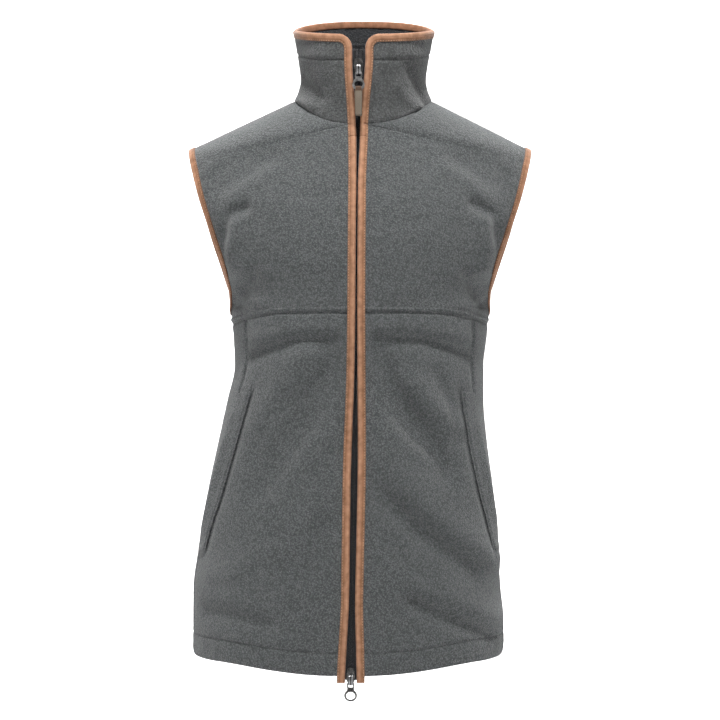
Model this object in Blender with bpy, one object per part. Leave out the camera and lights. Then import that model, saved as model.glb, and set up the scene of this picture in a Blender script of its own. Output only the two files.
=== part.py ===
"""Sleeveless zip-front fleece vest, filled out as it is worn, with nobody inside.

Frame: the origin is the middle of the neck at the height of the shoulder neck points, where the wearer's
shoulders carry the vest. X runs to the wearer's left, Y to the back and Z up. The tables are in millimetres
and the finished meshes are in metres.

The body is two curved sheets, front and back. A point of a sheet is found from s, which runs from the centre
line (0) to the side seam or the armhole (1), and t, which runs from the hem (0) over the underarm point (1)
to the shoulder seam (2). The collar is found in the same way from an angle round the neck and a height. Every
piece is cut from these sheets, and what lies on a piece is seated on its points.
"""
import math

import bmesh
import bpy
import numpy as np
from mathutils import Matrix, Vector

for old in list(bpy.data.objects):
    bpy.data.objects.remove(old, do_unlink=True)

# Driving sizes, in millimetres
MM = 0.001
CLOTH = 2.6
COLLAR_CLOTH = 3.2
TURNED_HEM = 2.4
HEM_BAND = 26.0
SEAM_GAP = 0.32
REST_GAP = 0.3
HEM_FRONT_Z = -689.0
HEM_SIDE_Z = -678.6
PIT_Z = -256.0
SHOULDER_Z = -61.0
ARMHOLE_HALF_DEPTH = 60.0
NECK_X = 4.0
NECK_HALF = 84.0
NECK_FRONT_Y = -88.0
NECK_FRONT_Z = -37.0
NECK_BACK_Y = 70.0
NECK_BACK_Z = 14.0
COLLAR_FRONT_TOP = 66.0
COLLAR_SIDE_TOP = 88.0
COLLAR_BACK_TOP = 110.0
COLLAR_CORNER = 15.0
COLLAR_QUARTER = 94.0
ROUNDNESS = 0.87
YOKE_CENTRE_Z = -263.5
YOKE_SIDE_Z = -274.2
POCKET_TOP_Z = -355.0
POCKET_END_Z = -555.0
WELT_WIDTH = 26.0
WELT_THICK = 1.8

# Binding: a strip folded round the cloth's edge
BINDING_FOLD = 1.9
BINDING_LEG = 7.8
BINDING_INNER_LEG = 3.8
BINDING_HALF = 3.15
BINDING_SLOT = 2.42
BINDING_LIP = 1.75
BINDING_ROOM = 0.7
BINDING_ROUND = 0.5
BINDING_JOIN_Z = -53.5
BINDING_TAIL = 7.5

# Zip
TAPE_THICK = 0.9
TAPE_WIDTH = 13.0
CHAIN_HALF = 3.2
CHAIN_THICK = 2.2
ZIP_DEPTH = BINDING_HALF + 1.5 * REST_GAP
TOP_AXIS_Z = 22.5
BOTTOM_AXIS_Z = -696.6
SLIDER_PLATE = 1.4
TOP_SLIDER_HALF = 5.9
BOTTOM_SLIDER_HALF = 5.2
SLIDER_DROP = 15.5
POST_HALF = 1.8
ARCH_HALF = 2.1
ARCH_THICK = 1.2
ARCH_LOW = -2.9
ARCH_HIGH = 10.0

# Pulls, from the axis at which they turn
AXIS_RISE = 4.1
ARCH_ROOM = 1.75
PULL_THICK = 1.2
PULL_BAR_HALF = 4.4
PULL_RING_Z = -14.2
PULL_RING_HALF = 7.6
PULL_RING_RISE = 7.0
RING_HOLE_HALF = 6.0
RING_HOLE_RISE = 4.9
STRIP_HALF = 4.4
STRIP_TOP = PULL_RING_Z - 8.6
STRIP_END = -51.5
LOOP_HALF = 2.6
LOOP_NEAR = 0.95
LOOP_FAR = 1.9
LOOP_TOP = PULL_RING_Z - 3.0

SIDES = (("left", 1), ("right", -1))

# Half outline at the side seam, each row a height
SIDE_COLUMNS = ("height", "left_x", "right_x")
SIDE_ROWS = (
    (-690, 174.5, -204.6),
    (-641, 176.0, -204.8),
    (-600, 172.5, -204.6),
    (-555, 169.3, -199.0),
    (-517, 167.8, -193.5),
    (-467, 162.0, -184.0),
    (-418, 155.5, -173.5),
    (-368, 151.5, -162.5),
    (-325, 151.5, -153.5),
    (-290, 155.5, -155.0),
    (-256, 158.5, -158.5),
)

# Depth of the centre front and the centre back, each row a height
CENTRE_COLUMNS = ("height", "front_y", "back_y", "back_x")
CENTRE_ROWS = (
    (-690, -130, 118, -15),
    (-620, -127, 115, -14),
    (-550, -123, 108, -12),
    (-470, -119, 100, -9),
    (-400, -117, 96, -6),
    (-340, -118.5, 96, -3),
    (-290, -122, 99, -1),
    (-240, -124, 104, 0),
    (-190, -122.5, 107.5, 1),
    (-140, -116, 109, 2),
    (-100, -106, 105, 3),
    (-65, -95.5, 98, 3),
    (-37, -88, 90, 4),
    (-12, -84, 80.5, 4),
    (14, -82, 70, 4),
)

# The zip's line and half the opening between the two front bindings, each row a height
OPENING_COLUMNS = ("height", "zip_x", "half_gap")
OPENING_ROWS = (
    (-700, -11.0, 7.0),
    (-660, -10.3, 5.6),
    (-600, -9.3, 3.4),
    (-465, -7.0, 3.9),
    (-330, -4.8, 1.6),
    (-250, -4.4, 0.9),
    (-110, -3.4, 0.8),
    (-50, -2.3, 2.1),
    (-35, -2.5, 2.5),
    (-10, -2.3, 4.0),
    (20, -1.8, 6.6),
    (40, -1.5, 7.6),
    (70, -1.5, 7.6),
)

# Distance of each armhole edge from the centre, each row a height
ARMHOLE_COLUMNS = ("height", "front_x", "back_x")
ARMHOLE_ROWS = (
    (-256, 158.5, 158.5),
    (-249, 157.2, 158.2),
    (-240, 157.2, 160.5),
    (-222, 160.5, 167.0),
    (-198, 167.0, 175.5),
    (-174, 175.5, 184.0),
    (-150, 184.0, 191.5),
    (-125, 192.5, 198.0),
    (-99, 200.0, 203.5),
    (-75, 206.5, 208.0),
    (-61, 210.0, 210.0),
)

# How the rows above the underarm fan out from the armhole to the centre line and the neck
UPPER_COLUMNS = (
    "t", "armhole_deg", "front_z", "front_neck_deg", "back_z", "back_neck_deg", "wrap_deg", "straight"
)
UPPER_ROWS = (
    (1.0, 0, -256, 0, -256, 0, 90, 0.0),
    (1.1, 22, -240, 0, -239, 0, 81, 0.0),
    (1.2, 44, -217, 0, -214, 0, 73, 0.0),
    (1.3, 66, -189, 0, -182, 0, 67, 0.02),
    (1.4, 87, -157, 0, -146, 0, 63, 0.06),
    (1.5, 107, -122, 0, -107, 0, 60, 0.12),
    (1.6, 125, -81, 0, -66, 0, 58, 0.22),
    (1.7, 141, -37, 0, -24, 0, 56, 0.34),
    (1.8, 155, -37, 36, 14, 0, 54, 0.42),
    (1.9, 168, -37, 65, 14, 50, 52, 0.46),
    (2.0, 180, -37, 90, 14, 90, 50, 0.48),
)

# The collar from its neck seam (rise 0) to its top edge (rise 1)
COLLAR_COLUMNS = ("rise", "centre_x", "side_half", "front_y", "back_y")
COLLAR_ROWS = (
    (0.0, 4.0, 84.0, -88.0, 70.0),
    (0.15, 4.0, 78.5, -89.5, 66.0),
    (0.3, 4.1, 76.0, -92.0, 63.5),
    (0.55, 4.3, 78.5, -96.0, 61.0),
    (0.8, 4.6, 82.5, -99.0, 60.0),
    (1.0, 4.8, 85.0, -100.5, 60.0),
)

# Front edge of the side panel, which is also the pocket's mouth, each row a height
PANEL_SEAM_COLUMNS = ("height", "s")
PANEL_SEAM_ROWS = (
    (-690, 0.89),
    (-600, 0.885),
    (-555, 0.87),
    (-520, 0.835),
    (-480, 0.785),
    (-420, 0.74),
    (-355, 0.695),
    (-310, 0.67),
    (-264, 0.645),
)

# Folds as soft ridges (height over 0) and troughs (height under 0) along a bent line of three points
FOLD_COLUMNS = ("x0", "z0", "x1", "z1", "x2", "z2", "height", "width")
FRONT_FOLDS = (
    # beside the right armhole
    (-166, -183, -156, -148, -138, -139, -4.5, 9),
    (-172, -112, -145, -103, -112, -82, -3.0, 17),
    (-153, -123, -130, -108, -106, -91, 2.0, 11),
    (-151, -162, -150, -185, -142, -208, 3.0, 12),
    (-127, -217, -138, -233, -149, -250, -3.5, 8),
    # beside the left armhole
    (166, -180, 157, -146, 137, -134, -4.5, 9),
    (170, -110, 147, -100, 122, -84, -3.0, 17),
    (150, -120, 130, -106, 106, -91, 2.0, 11),
    (151, -158, 149, -183, 141, -208, 3.0, 12),
    (126, -218, 138, -233, 149, -249, -3.5, 8),
    # under the yoke seam
    (-20, -297, -75, -298, -128, -312, -3.0, 12),
    (18, -297, 70, -296, 126, -310, -3.0, 12),
    # across the left front
    (12, -304, 42, -362, 100, -452, -5.0, 15),
    (62, -345, 84, -372, 110, -398, 3.5, 15),
    (18, -412, 70, -485, 158, -560, 4.0, 19),
    (15, -476, 66, -520, 134, -572, -4.0, 15),
    (66, -580, 104, -600, 158, -630, 3.0, 15),
    (60, -604, 104, -625, 150, -646, -3.5, 11),
    # across the right front
    (-21, -317, -62, -388, -118, -470, -4.0, 17),
    (-62, -306, -92, -350, -118, -395, 2.5, 15),
    (-30, -470, -80, -530, -150, -575, 2.5, 18),
    (-180, -620, -145, -624, -104, -632, -2.5, 9),
)
BACK_FOLDS = (
    (-152, -162, -148, -190, -130, -222, -3.5, 11),
    (153, -165, 147, -192, 128, -220, -3.5, 11),
    (-128, -222, -140, -238, -152, -252, -3.0, 9),
    (127, -220, 140, -236, 151, -251, -3.0, 9),
    (-120, -330, -70, -372, 10, -392, -4.0, 15),
    (118, -350, 60, -395, -30, -420, -4.0, 15),
    (-110, -376, -50, -420, 40, -448, 3.0, 16),
    (-125, -440, -60, -478, 20, -500, -3.5, 14),
    (126, -470, 70, -520, -10, -560, -3.5, 16),
    (-140, -560, -80, -590, 0, -604, 3.0, 17),
    (150, -590, 95, -612, 30, -622, -3.0, 13),
    (-60, -30, 0, -46, 62, -32, -2.5, 11),
)

# Grid steps of the cloth pieces
FRONT_SHARES = (0.0, 0.045, 0.14, 0.27, 0.41, 0.56, 0.71, 0.86, 1.0)
SIDE_SHARES = (0.0, 0.3, 0.6, 0.86, 1.0)
BACK_COLUMNS_S = (0.0, 0.12, 0.24, 0.36, 0.47, 0.58, 0.68, 0.78, 0.87, 0.95, 1.0)
LOWER_STEPS = 17
ARMHOLE_T = (1.0, 1.04, 1.09, 1.15, 1.22, 1.3, 1.4, 1.5, 1.6, 1.65, 1.7)
UNDERARM_SHARE = 0.55
NECK_STEP_DEG = 12.9
COLLAR_RISES = (0.0, 0.14, 0.3, 0.5, 0.72, 0.87, 1.0)
COLLAR_FRONT_RISES = (0.0, 0.07, 0.15, 0.3, 0.5, 0.65)


def column(columns, rows, name):
    """One named column of a table."""
    place = columns.index(name)
    return [row[place] for row in rows]


def track(columns, rows, key, name):
    """A smooth curve through a table: the value of one column for any value of the key column."""
    keys = np.array(column(columns, rows, key), dtype=float)
    values = np.array(column(columns, rows, name), dtype=float)
    step = np.diff(keys)
    rise = np.diff(values) / step
    slope = np.zeros_like(values)
    slope[0] = rise[0]
    slope[-1] = rise[-1]
    before, after = rise[:-1], rise[1:]
    same_way = before * after > 0
    total = np.where(same_way, before + after, 1.0)
    slope[1:-1] = np.where(same_way, 2 * before * after / total, 0.0)

    def value_at(at):
        at = np.clip(at, keys[0], keys[-1])
        i = np.clip(np.searchsorted(keys, at, side="right") - 1, 0, len(step) - 1)
        u = (at - keys[i]) / step[i]
        start = values[i] * (1 + 2 * u) * (1 - u) ** 2 + slope[i] * step[i] * u * (1 - u) ** 2
        end = values[i + 1] * u * u * (3 - 2 * u) + slope[i + 1] * step[i] * u * u * (u - 1)
        return start + end

    return value_at


def ease(low, high, value):
    """Smooth step from 0 at low to 1 at high."""
    u = np.clip((value - low) / (high - low), 0, 1)
    return u * u * (3 - 2 * u)


side_x = {
    1: track(SIDE_COLUMNS, SIDE_ROWS, "height", "left_x"),
    -1: track(SIDE_COLUMNS, SIDE_ROWS, "height", "right_x"),
}
front_y = track(CENTRE_COLUMNS, CENTRE_ROWS, "height", "front_y")
back_y = track(CENTRE_COLUMNS, CENTRE_ROWS, "height", "back_y")
back_x = track(CENTRE_COLUMNS, CENTRE_ROWS, "height", "back_x")
zip_x = track(OPENING_COLUMNS, OPENING_ROWS, "height", "zip_x")
half_gap = track(OPENING_COLUMNS, OPENING_ROWS, "height", "half_gap")
armhole_front_x = track(ARMHOLE_COLUMNS, ARMHOLE_ROWS, "height", "front_x")
armhole_back_x = track(ARMHOLE_COLUMNS, ARMHOLE_ROWS, "height", "back_x")
armhole_deg = track(UPPER_COLUMNS, UPPER_ROWS, "t", "armhole_deg")
upper_front_z = track(UPPER_COLUMNS, UPPER_ROWS, "t", "front_z")
upper_back_z = track(UPPER_COLUMNS, UPPER_ROWS, "t", "back_z")
front_neck_deg = track(UPPER_COLUMNS, UPPER_ROWS, "t", "front_neck_deg")
back_neck_deg = track(UPPER_COLUMNS, UPPER_ROWS, "t", "back_neck_deg")
wrap_deg = track(UPPER_COLUMNS, UPPER_ROWS, "t", "wrap_deg")
straightness = track(UPPER_COLUMNS, UPPER_ROWS, "t", "straight")
collar_x = track(COLLAR_COLUMNS, COLLAR_ROWS, "rise", "centre_x")
collar_half = track(COLLAR_COLUMNS, COLLAR_ROWS, "rise", "side_half")
collar_front_y = track(COLLAR_COLUMNS, COLLAR_ROWS, "rise", "front_y")
collar_back_y = track(COLLAR_COLUMNS, COLLAR_ROWS, "rise", "back_y")
panel_seam_s = track(PANEL_SEAM_COLUMNS, PANEL_SEAM_ROWS, "height", "s")


def bent(value):
    """A sine or cosine raised to the roundness of the body's section."""
    return np.clip(value, 0, 1) ** ROUNDNESS


def edge_x(side, height):
    """Where a front's cloth ends beside the zip."""
    return zip_x(height) + side * (half_gap(height) + BINDING_FOLD)


def neck_height(degrees):
    """Height of the neck seam, from the centre front (0) round to the centre back (180)."""
    turn = np.cos(np.radians(degrees))
    front = NECK_FRONT_Z * np.clip(turn, 0, 1) ** 1.7
    back = NECK_BACK_Z * np.clip(-turn, 0, 1) ** 1.7
    return front + back


def neck_point(side, degrees):
    """The neck seam, which the fronts, the back and the collar share."""
    out = bent(np.sin(np.radians(degrees)))
    turn = np.cos(np.radians(degrees))
    centre = np.where(turn > 0, edge_x(side, NECK_FRONT_Z), NECK_X)
    x = centre + (NECK_X + side * NECK_HALF - centre) * out
    y = NECK_FRONT_Y * bent(turn) + NECK_BACK_Y * bent(-turn)
    return x, y, neck_height(degrees)


def sheet_plain(part, side, s, t):
    """A point in the middle of the front or back sheet's cloth, without folds."""
    s = np.asarray(s, dtype=float)
    t = np.asarray(t, dtype=float)
    low = np.clip(t, 0, 1)
    side_z = HEM_SIDE_Z + (PIT_Z - HEM_SIDE_Z) * low
    centre_z = HEM_FRONT_Z + (PIT_Z - HEM_FRONT_Z) * low
    above = t > 1
    high = np.clip(t, 1, 2)
    turn = np.radians(armhole_deg(high))
    arm_z = (PIT_Z + SHOULDER_Z) / 2 - (SHOULDER_Z - PIT_Z) / 2 * np.cos(turn)
    out_z = np.where(above, arm_z, side_z)
    if part == "front":
        arm_x = armhole_front_x(arm_z)
        out_y = np.where(above, -ARMHOLE_HALF_DEPTH * np.sin(turn), 0.0)
        neck_angle = front_neck_deg(high)
        in_z = np.where(above, upper_front_z(high), centre_z)
        in_x = edge_x(side, in_z)
        in_y = front_y(in_z)
        neck = neck_point(side, neck_angle)
    else:
        arm_x = armhole_back_x(arm_z)
        out_y = np.where(above, ARMHOLE_HALF_DEPTH * np.sin(turn), 0.0)
        neck_angle = back_neck_deg(high)
        in_z = np.where(above, upper_back_z(high), centre_z)
        in_x = back_x(in_z)
        in_y = back_y(in_z)
        neck = neck_point(side, 180 - neck_angle)
    out_x = np.where(above, side * arm_x, side_x[side](side_z))
    on_neck = neck_angle > 0
    in_x = np.where(on_neck, neck[0], in_x)
    in_y = np.where(on_neck, neck[1], in_y)
    in_z = np.where(on_neck, neck[2], in_z)
    wrap = np.radians(wrap_deg(high))
    across = bent(np.sin(s * wrap)) / bent(np.sin(wrap))
    around = (1 - bent(np.cos(s * wrap))) / (1 - bent(np.cos(wrap)))
    straight = straightness(high)
    around = around * (1 - straight) + across * straight
    climb = np.where(above, across, ease(0, 0.55, s))
    x = in_x + (out_x - in_x) * across
    y = in_y + (out_y - in_y) * around
    z = in_z + (out_z - in_z) * climb
    return np.stack([x, y, z], axis=-1)


def unit(vectors):
    """Vectors brought to length 1."""
    length = np.linalg.norm(vectors, axis=-1, keepdims=True)
    return vectors / np.maximum(length, 1e-9)


def sheet_normal(part, side, s, t):
    """Outward direction of a sheet. Near the underarm the rows bunch up, so plain Z stands in for t there."""
    s = np.asarray(s, dtype=float)
    t = np.asarray(t, dtype=float)
    step = 0.004
    s0, s1 = np.clip(s - step, 0, 1), np.clip(s + step, 0, 1)
    t0, t1 = np.clip(t - step, 0, 2), np.clip(t + step, 0, 2)
    along = unit(sheet_plain(part, side, s1, t) - sheet_plain(part, side, s0, t))
    up = unit(sheet_plain(part, side, s, t1) - sheet_plain(part, side, s, t0))
    trust = ease(1.05, 1.3, t)[..., None]
    up = unit(up * trust + np.array([0.0, 0.0, 1.0]) * (1 - trust))
    turned = np.cross(along, up)
    way = side if part == "front" else -side
    return unit(turned) * way


def fold_height(folds, x, z):
    """Sum of the folds at a place seen from the front."""
    total = np.zeros_like(x)
    for row in folds:
        fold = dict(zip(FOLD_COLUMNS, row))
        nearest = np.full_like(x, 1e9)
        for start, end in (("0", "1"), ("1", "2")):
            ax, az = fold["x" + start], fold["z" + start]
            bx, bz = fold["x" + end], fold["z" + end]
            length = (bx - ax) ** 2 + (bz - az) ** 2
            u = np.clip(((x - ax) * (bx - ax) + (z - az) * (bz - az)) / length, 0, 1)
            gap = (x - ax - u * (bx - ax)) ** 2 + (z - az - u * (bz - az)) ** 2
            nearest = np.minimum(nearest, gap)
        total = total + fold["height"] * np.exp(-nearest / fold["width"] ** 2)
    return total


def sheet(part, side, s, t):
    """A point in the middle of a sheet's cloth, and the outward direction there."""
    plain = sheet_plain(part, side, s, t)
    normal = sheet_normal(part, side, s, t)
    folds = FRONT_FOLDS if part == "front" else BACK_FOLDS
    lift = fold_height(folds, plain[..., 0], plain[..., 2])
    s = np.asarray(s, dtype=float)
    t = np.asarray(t, dtype=float)
    if part == "front":
        lift = lift * ease(0.03, 0.14, s)
    lift = lift * (1 - ease(0.82, 0.94, s)) * (1 - ease(1.75, 1.9, t))
    return plain + normal * lift[..., None], normal


def collar_height(degrees, rise):
    """Height of the collar at an angle round the neck."""
    turn = np.cos(np.radians(degrees))
    top_front = COLLAR_SIDE_TOP + (COLLAR_FRONT_TOP - COLLAR_SIDE_TOP) * turn
    top_back = COLLAR_SIDE_TOP - (COLLAR_BACK_TOP - COLLAR_SIDE_TOP) * turn
    top = np.where(turn > 0, top_front, top_back)
    base = neck_height(degrees)
    return base + (top - base) * rise


def collar_plain(side, degrees, rise):
    """A point in the middle of the collar's cloth."""
    degrees = np.asarray(degrees, dtype=float)
    rise = np.asarray(rise, dtype=float)
    out = bent(np.sin(np.radians(degrees)))
    turn = np.cos(np.radians(degrees))
    z = collar_height(degrees, rise)
    front_edge = edge_x(side, collar_height(0.0, rise))
    centre = np.where(turn > 0, front_edge, collar_x(rise))
    x = centre + (collar_x(rise) + side * collar_half(rise) - centre) * out
    y = collar_front_y(rise) * bent(turn) + collar_back_y(rise) * bent(-turn)
    return np.stack([x, y, z], axis=-1)


def collar_sheet(side, degrees, rise):
    """A point of the collar and the outward direction there."""
    degrees = np.asarray(degrees, dtype=float)
    rise = np.asarray(rise, dtype=float)
    d0, d1 = np.clip(degrees - 0.5, 0, 180), np.clip(degrees + 0.5, 0, 180)
    r0, r1 = np.clip(rise - 0.01, 0, 1), np.clip(rise + 0.01, 0, 1)
    along = collar_plain(side, d1, rise) - collar_plain(side, d0, rise)
    up = collar_plain(side, degrees, r1) - collar_plain(side, degrees, r0)
    return collar_plain(side, degrees, rise), unit(np.cross(along, up)) * side


FRONT_NECK_T = 1.7
BACK_NECK_T = 1.8
front_ladder = np.linspace(FRONT_NECK_T, 2.0, 400)
back_ladder = np.linspace(BACK_NECK_T, 2.0, 400)
neck_ladder = {
    "front": (front_neck_deg(front_ladder), front_ladder),
    "back": (back_neck_deg(back_ladder), back_ladder),
}


def rows_for_neck(part, angles):
    """The t of each neck angle, found on a fine ladder of rows."""
    return [float(np.interp(angle, *neck_ladder[part])) for angle in angles]


def t_at_height(height):
    """The t of a height at the centre line, below the underarm."""
    return (height - HEM_FRONT_Z) / (PIT_Z - HEM_FRONT_Z)


def yoke_height(s):
    """The yoke seam's height along a row."""
    return YOKE_CENTRE_Z + (YOKE_SIDE_Z - YOKE_CENTRE_Z) * ease(0.3, 0.9, s)


def t_on_yoke(s):
    """The t at which a column meets the yoke seam."""
    climb = ease(0, 0.55, np.asarray(s, dtype=float))
    low = HEM_FRONT_Z + (HEM_SIDE_Z - HEM_FRONT_Z) * climb
    return (yoke_height(s) - low) / (PIT_Z - low)


NECK_ANGLES = [NECK_STEP_DEG * k for k in range(1, 7)] + [90.0]
FRONT_UPPER_T = list(ARMHOLE_T) + rows_for_neck("front", NECK_ANGLES)
BACK_UPPER_T = list(ARMHOLE_T) + [BACK_NECK_T] + rows_for_neck("back", NECK_ANGLES)
HEM_T = [0.0, HEM_BAND / (PIT_Z - HEM_FRONT_Z), (HEM_BAND + 2.0) / (PIT_Z - HEM_FRONT_Z)]
LOWER_SHARE = HEM_T + [HEM_T[-1] + (1 - HEM_T[-1]) * (k + 1) / LOWER_STEPS for k in range(LOWER_STEPS)]


def lower_t(s, share):
    """Rows of the lower pieces: share 0 is the hem and share 1 the yoke seam."""
    return share * t_on_yoke(s)


def paint(name, colour, roughness, metallic=0.0):
    """A plain material for one finish."""
    material = bpy.data.materials.new(name)
    material.use_nodes = True
    shader = material.node_tree.nodes["Principled BSDF"]
    shader.inputs["Base Color"].default_value = (*colour, 1.0)
    shader.inputs["Roughness"].default_value = roughness
    shader.inputs["Metallic"].default_value = metallic
    material.diffuse_color = (*colour, 1.0)
    return material


def fleece():
    return paint("fleece", (0.115, 0.125, 0.124), 0.95)


def suede():
    return paint("suede_binding", (0.43, 0.19, 0.09), 0.7)


def zip_cloth():
    return paint("zip_tape", (0.012, 0.012, 0.014), 0.8)


def coil_plastic():
    return paint("zip_coil", (0.015, 0.015, 0.017), 0.45)


def dark_metal():
    return paint("dark_metal", (0.16, 0.16, 0.16), 0.35, 0.9)


def puller_cloth():
    return paint("puller_tape", (0.18, 0.15, 0.115), 0.8)


def new_object(name, points, faces, material, smooth=True):
    """An object from points in millimetres."""
    mesh = bpy.data.meshes.new(name)
    mesh.from_pydata([tuple(float(value) * MM for value in point) for point in points], [], faces)
    mesh.materials.append(material)
    if smooth:
        mesh.shade_smooth()
        mesh.set_sharp_from_angle(angle=math.radians(50))
    mesh.update()
    made = bpy.data.objects.new(name, mesh)
    bpy.context.scene.collection.objects.link(made)
    return made


def pull_back(grid, seams):
    """Moves each seam edge of a grid into the piece by half a seam gap."""
    half = SEAM_GAP / 2
    grid = grid.copy()
    if "first_row" in seams:
        grid[0] += unit(grid[1] - grid[0]) * half
    if "last_row" in seams:
        grid[-1] += unit(grid[-2] - grid[-1]) * half
    if "first_column" in seams:
        grid[:, 0] += unit(grid[:, 1] - grid[:, 0]) * half
    if "last_column" in seams:
        grid[:, -1] += unit(grid[:, -2] - grid[:, -1]) * half
    return grid


def wall(name, middle, normal, outside, inside, material, way):
    """A closed wall on a grid: outer points, inner points and the four edges.

    outside and inside are the distances from the middle of the cloth, one number or a grid of them."""
    rows, columns = middle.shape[:2]
    outside = np.broadcast_to(outside, (rows, columns))[..., None]
    inside = np.broadcast_to(inside, (rows, columns))[..., None]
    faces_out = (middle + normal * outside).reshape(-1, 3)
    faces_in = (middle - normal * inside).reshape(-1, 3)
    points = np.concatenate([faces_out, faces_in])
    count = rows * columns

    def at(i, j, layer):
        return layer * count + i * columns + j

    faces = []
    for i in range(rows - 1):
        for j in range(columns - 1):
            quad = [at(i, j, 0), at(i, j + 1, 0), at(i + 1, j + 1, 0), at(i + 1, j, 0)]
            faces.append(quad)
            faces.append([index + count for index in reversed(quad)])
    rim = [(0, j) for j in range(columns - 1)]
    rim += [(i, columns - 1) for i in range(rows - 1)]
    rim += [(rows - 1, j) for j in range(columns - 1, 0, -1)]
    rim += [(i, 0) for i in range(rows - 1, 0, -1)]
    for here, there in zip(rim, rim[1:] + rim[:1]):
        faces.append([at(*there, 0), at(*here, 0), at(*here, 1), at(*there, 1)])
    if way < 0:
        faces = [face[::-1] for face in faces]
    return new_object(name, points, faces, material)


def seam_normal(side, degrees):
    """The shared direction of the cloth's cut edge at the neck seam, halfway between body and collar."""
    degrees = np.asarray(degrees, dtype=float)
    front = degrees <= 90
    front_t = np.interp(degrees, *neck_ladder["front"])
    back_t = np.interp(180 - degrees, *neck_ladder["back"])
    zero = np.zeros_like(degrees)
    body = np.where(
        front[..., None],
        sheet_normal("front", side, zero, front_t),
        sheet_normal("back", side, zero, back_t),
    )
    at_shoulder = np.exp(-((degrees - 90) / 12.0) ** 2)[..., None]
    shoulder = sheet_normal("front", side, zero, zero + 2.0) + sheet_normal("back", side, zero, zero + 2.0)
    body = unit(body * (1 - at_shoulder) + unit(shoulder) * at_shoulder)
    return unit(body + collar_sheet(side, degrees, zero)[1])


def body_grid(part, side, s, t):
    """Points and directions of a piece of the body, with shared directions along the shoulder and the neck."""
    middle, normal = sheet(part, side, s, t)
    shoulder = t >= 2.0 - 1e-6
    other = "back" if part == "front" else "front"
    both = unit(sheet_normal(part, side, s, t) + sheet_normal(other, side, s, t))
    normal = np.where(shoulder[..., None], both, normal)
    degrees = front_neck_deg(t) if part == "front" else 180 - back_neck_deg(t)
    first = FRONT_NECK_T if part == "front" else BACK_NECK_T
    on_neck = (s <= 1e-9) & (t >= first - 1e-9)
    normal = np.where(on_neck[..., None], seam_normal(side, degrees), normal)
    return middle, normal


def mesh_grid(s_values, t_values):
    """s and t at every crossing of a grid, a row for each t."""
    t, s = np.meshgrid(np.array(t_values, dtype=float), np.array(s_values, dtype=float), indexing="ij")
    return s, t


def yoke_columns():
    """s of the yoke's columns: those of the front panel and of the side panel below it."""
    seam = float(panel_seam_s(YOKE_CENTRE_Z))
    front = [seam * value for value in FRONT_SHARES]
    side = [seam + (1 - seam) * value for value in SIDE_SHARES]
    return front, side


def off_the_neck(edge, normal, way):
    """Moves a run of neck seam points away from the seam: down the body (-1) or up the collar (1)."""
    along = unit(np.gradient(edge, axis=0))
    away = unit(np.cross(along, normal))
    away *= np.where(away[:, 2:] > 0, way, -way)
    return edge + away * SEAM_GAP * 0.65


def make_yoke(label, side):
    """The front yoke, from the yoke seam to the shoulder and the neck."""
    front, behind = yoke_columns()
    s, t = mesh_grid(front + behind[1:], [0.0, 0.0] + FRONT_UPPER_T)
    t[0] = t_on_yoke(s[0])
    t[1] = t[0] + (1 - t[0]) * UNDERARM_SHARE
    middle, normal = body_grid("front", side, s, t)
    middle = pull_back(middle, ("first_row", "last_row"))
    middle[t[:, -1] <= 1.0, -1] += np.array([0, -SEAM_GAP / 2, 0])
    on_neck = t[:, 0] >= FRONT_NECK_T - 1e-9
    middle[on_neck, 0] = off_the_neck(middle[on_neck, 0], normal[on_neck, 0], -1)
    return wall(f"front_yoke_{label}", middle, normal, CLOTH / 2, CLOTH / 2, fleece(), side)


def hem_inside(share, s):
    """Distance from the middle of the cloth to its inner face: more where the hem is turned up.

    The turned hem thins out beside the zip, where the tape lies on it."""
    turned = np.where(share <= HEM_T[1] + 1e-9, TURNED_HEM, 0.0)
    return CLOTH / 2 + turned * np.where(s > 0.1, 1.0, 0.0)


def make_front_panel(label, side):
    """The front below the yoke, from the zip to the panel seam and the pocket's mouth."""
    column_share, share = mesh_grid(FRONT_SHARES, LOWER_SHARE)
    seam = panel_seam_s(HEM_FRONT_Z + (YOKE_CENTRE_Z - HEM_FRONT_Z) * share)
    s = column_share * seam
    middle, normal = body_grid("front", side, s, lower_t(s, share))
    middle = pull_back(middle, ("last_row", "last_column"))
    return wall(f"front_panel_{label}", middle, normal, CLOTH / 2, hem_inside(share, s), fleece(), side)


def make_side_panel(label, side):
    """The side piece between the pocket's seam and the side seam."""
    column_share, share = mesh_grid(SIDE_SHARES, LOWER_SHARE)
    seam = panel_seam_s(HEM_FRONT_Z + (YOKE_CENTRE_Z - HEM_FRONT_Z) * share)
    s = seam + column_share * (1 - seam)
    middle, normal = body_grid("front", side, s, lower_t(s, share))
    middle = pull_back(middle, ("last_row", "first_column", "last_column"))
    return wall(f"side_panel_{label}", middle, normal, CLOTH / 2, hem_inside(share, s), fleece(), side)


def back_halves():
    """Points and directions of both halves of the back, from the hem to the neck and the shoulders."""
    top = float(t_on_yoke(1.0))
    lower = [value * top for value in LOWER_SHARE] + [top + (1 - top) * UNDERARM_SHARE]
    s, t = mesh_grid(BACK_COLUMNS_S, lower + BACK_UPPER_T)
    halves = {}
    for _, side in SIDES:
        middle, normal = body_grid("back", side, s, t)
        middle[-1] += np.array([0, SEAM_GAP / 2, 0])
        low = t[:, -1] <= 1.0 + 1e-9
        middle[low, -1] += np.array([0, SEAM_GAP / 2, 0])
        on_neck = t[:, 0] >= BACK_NECK_T - 1e-9
        middle[on_neck, 0] = off_the_neck(middle[on_neck, 0], normal[on_neck, 0], -1)
        halves[side] = (middle, normal)
    return halves, t


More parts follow.
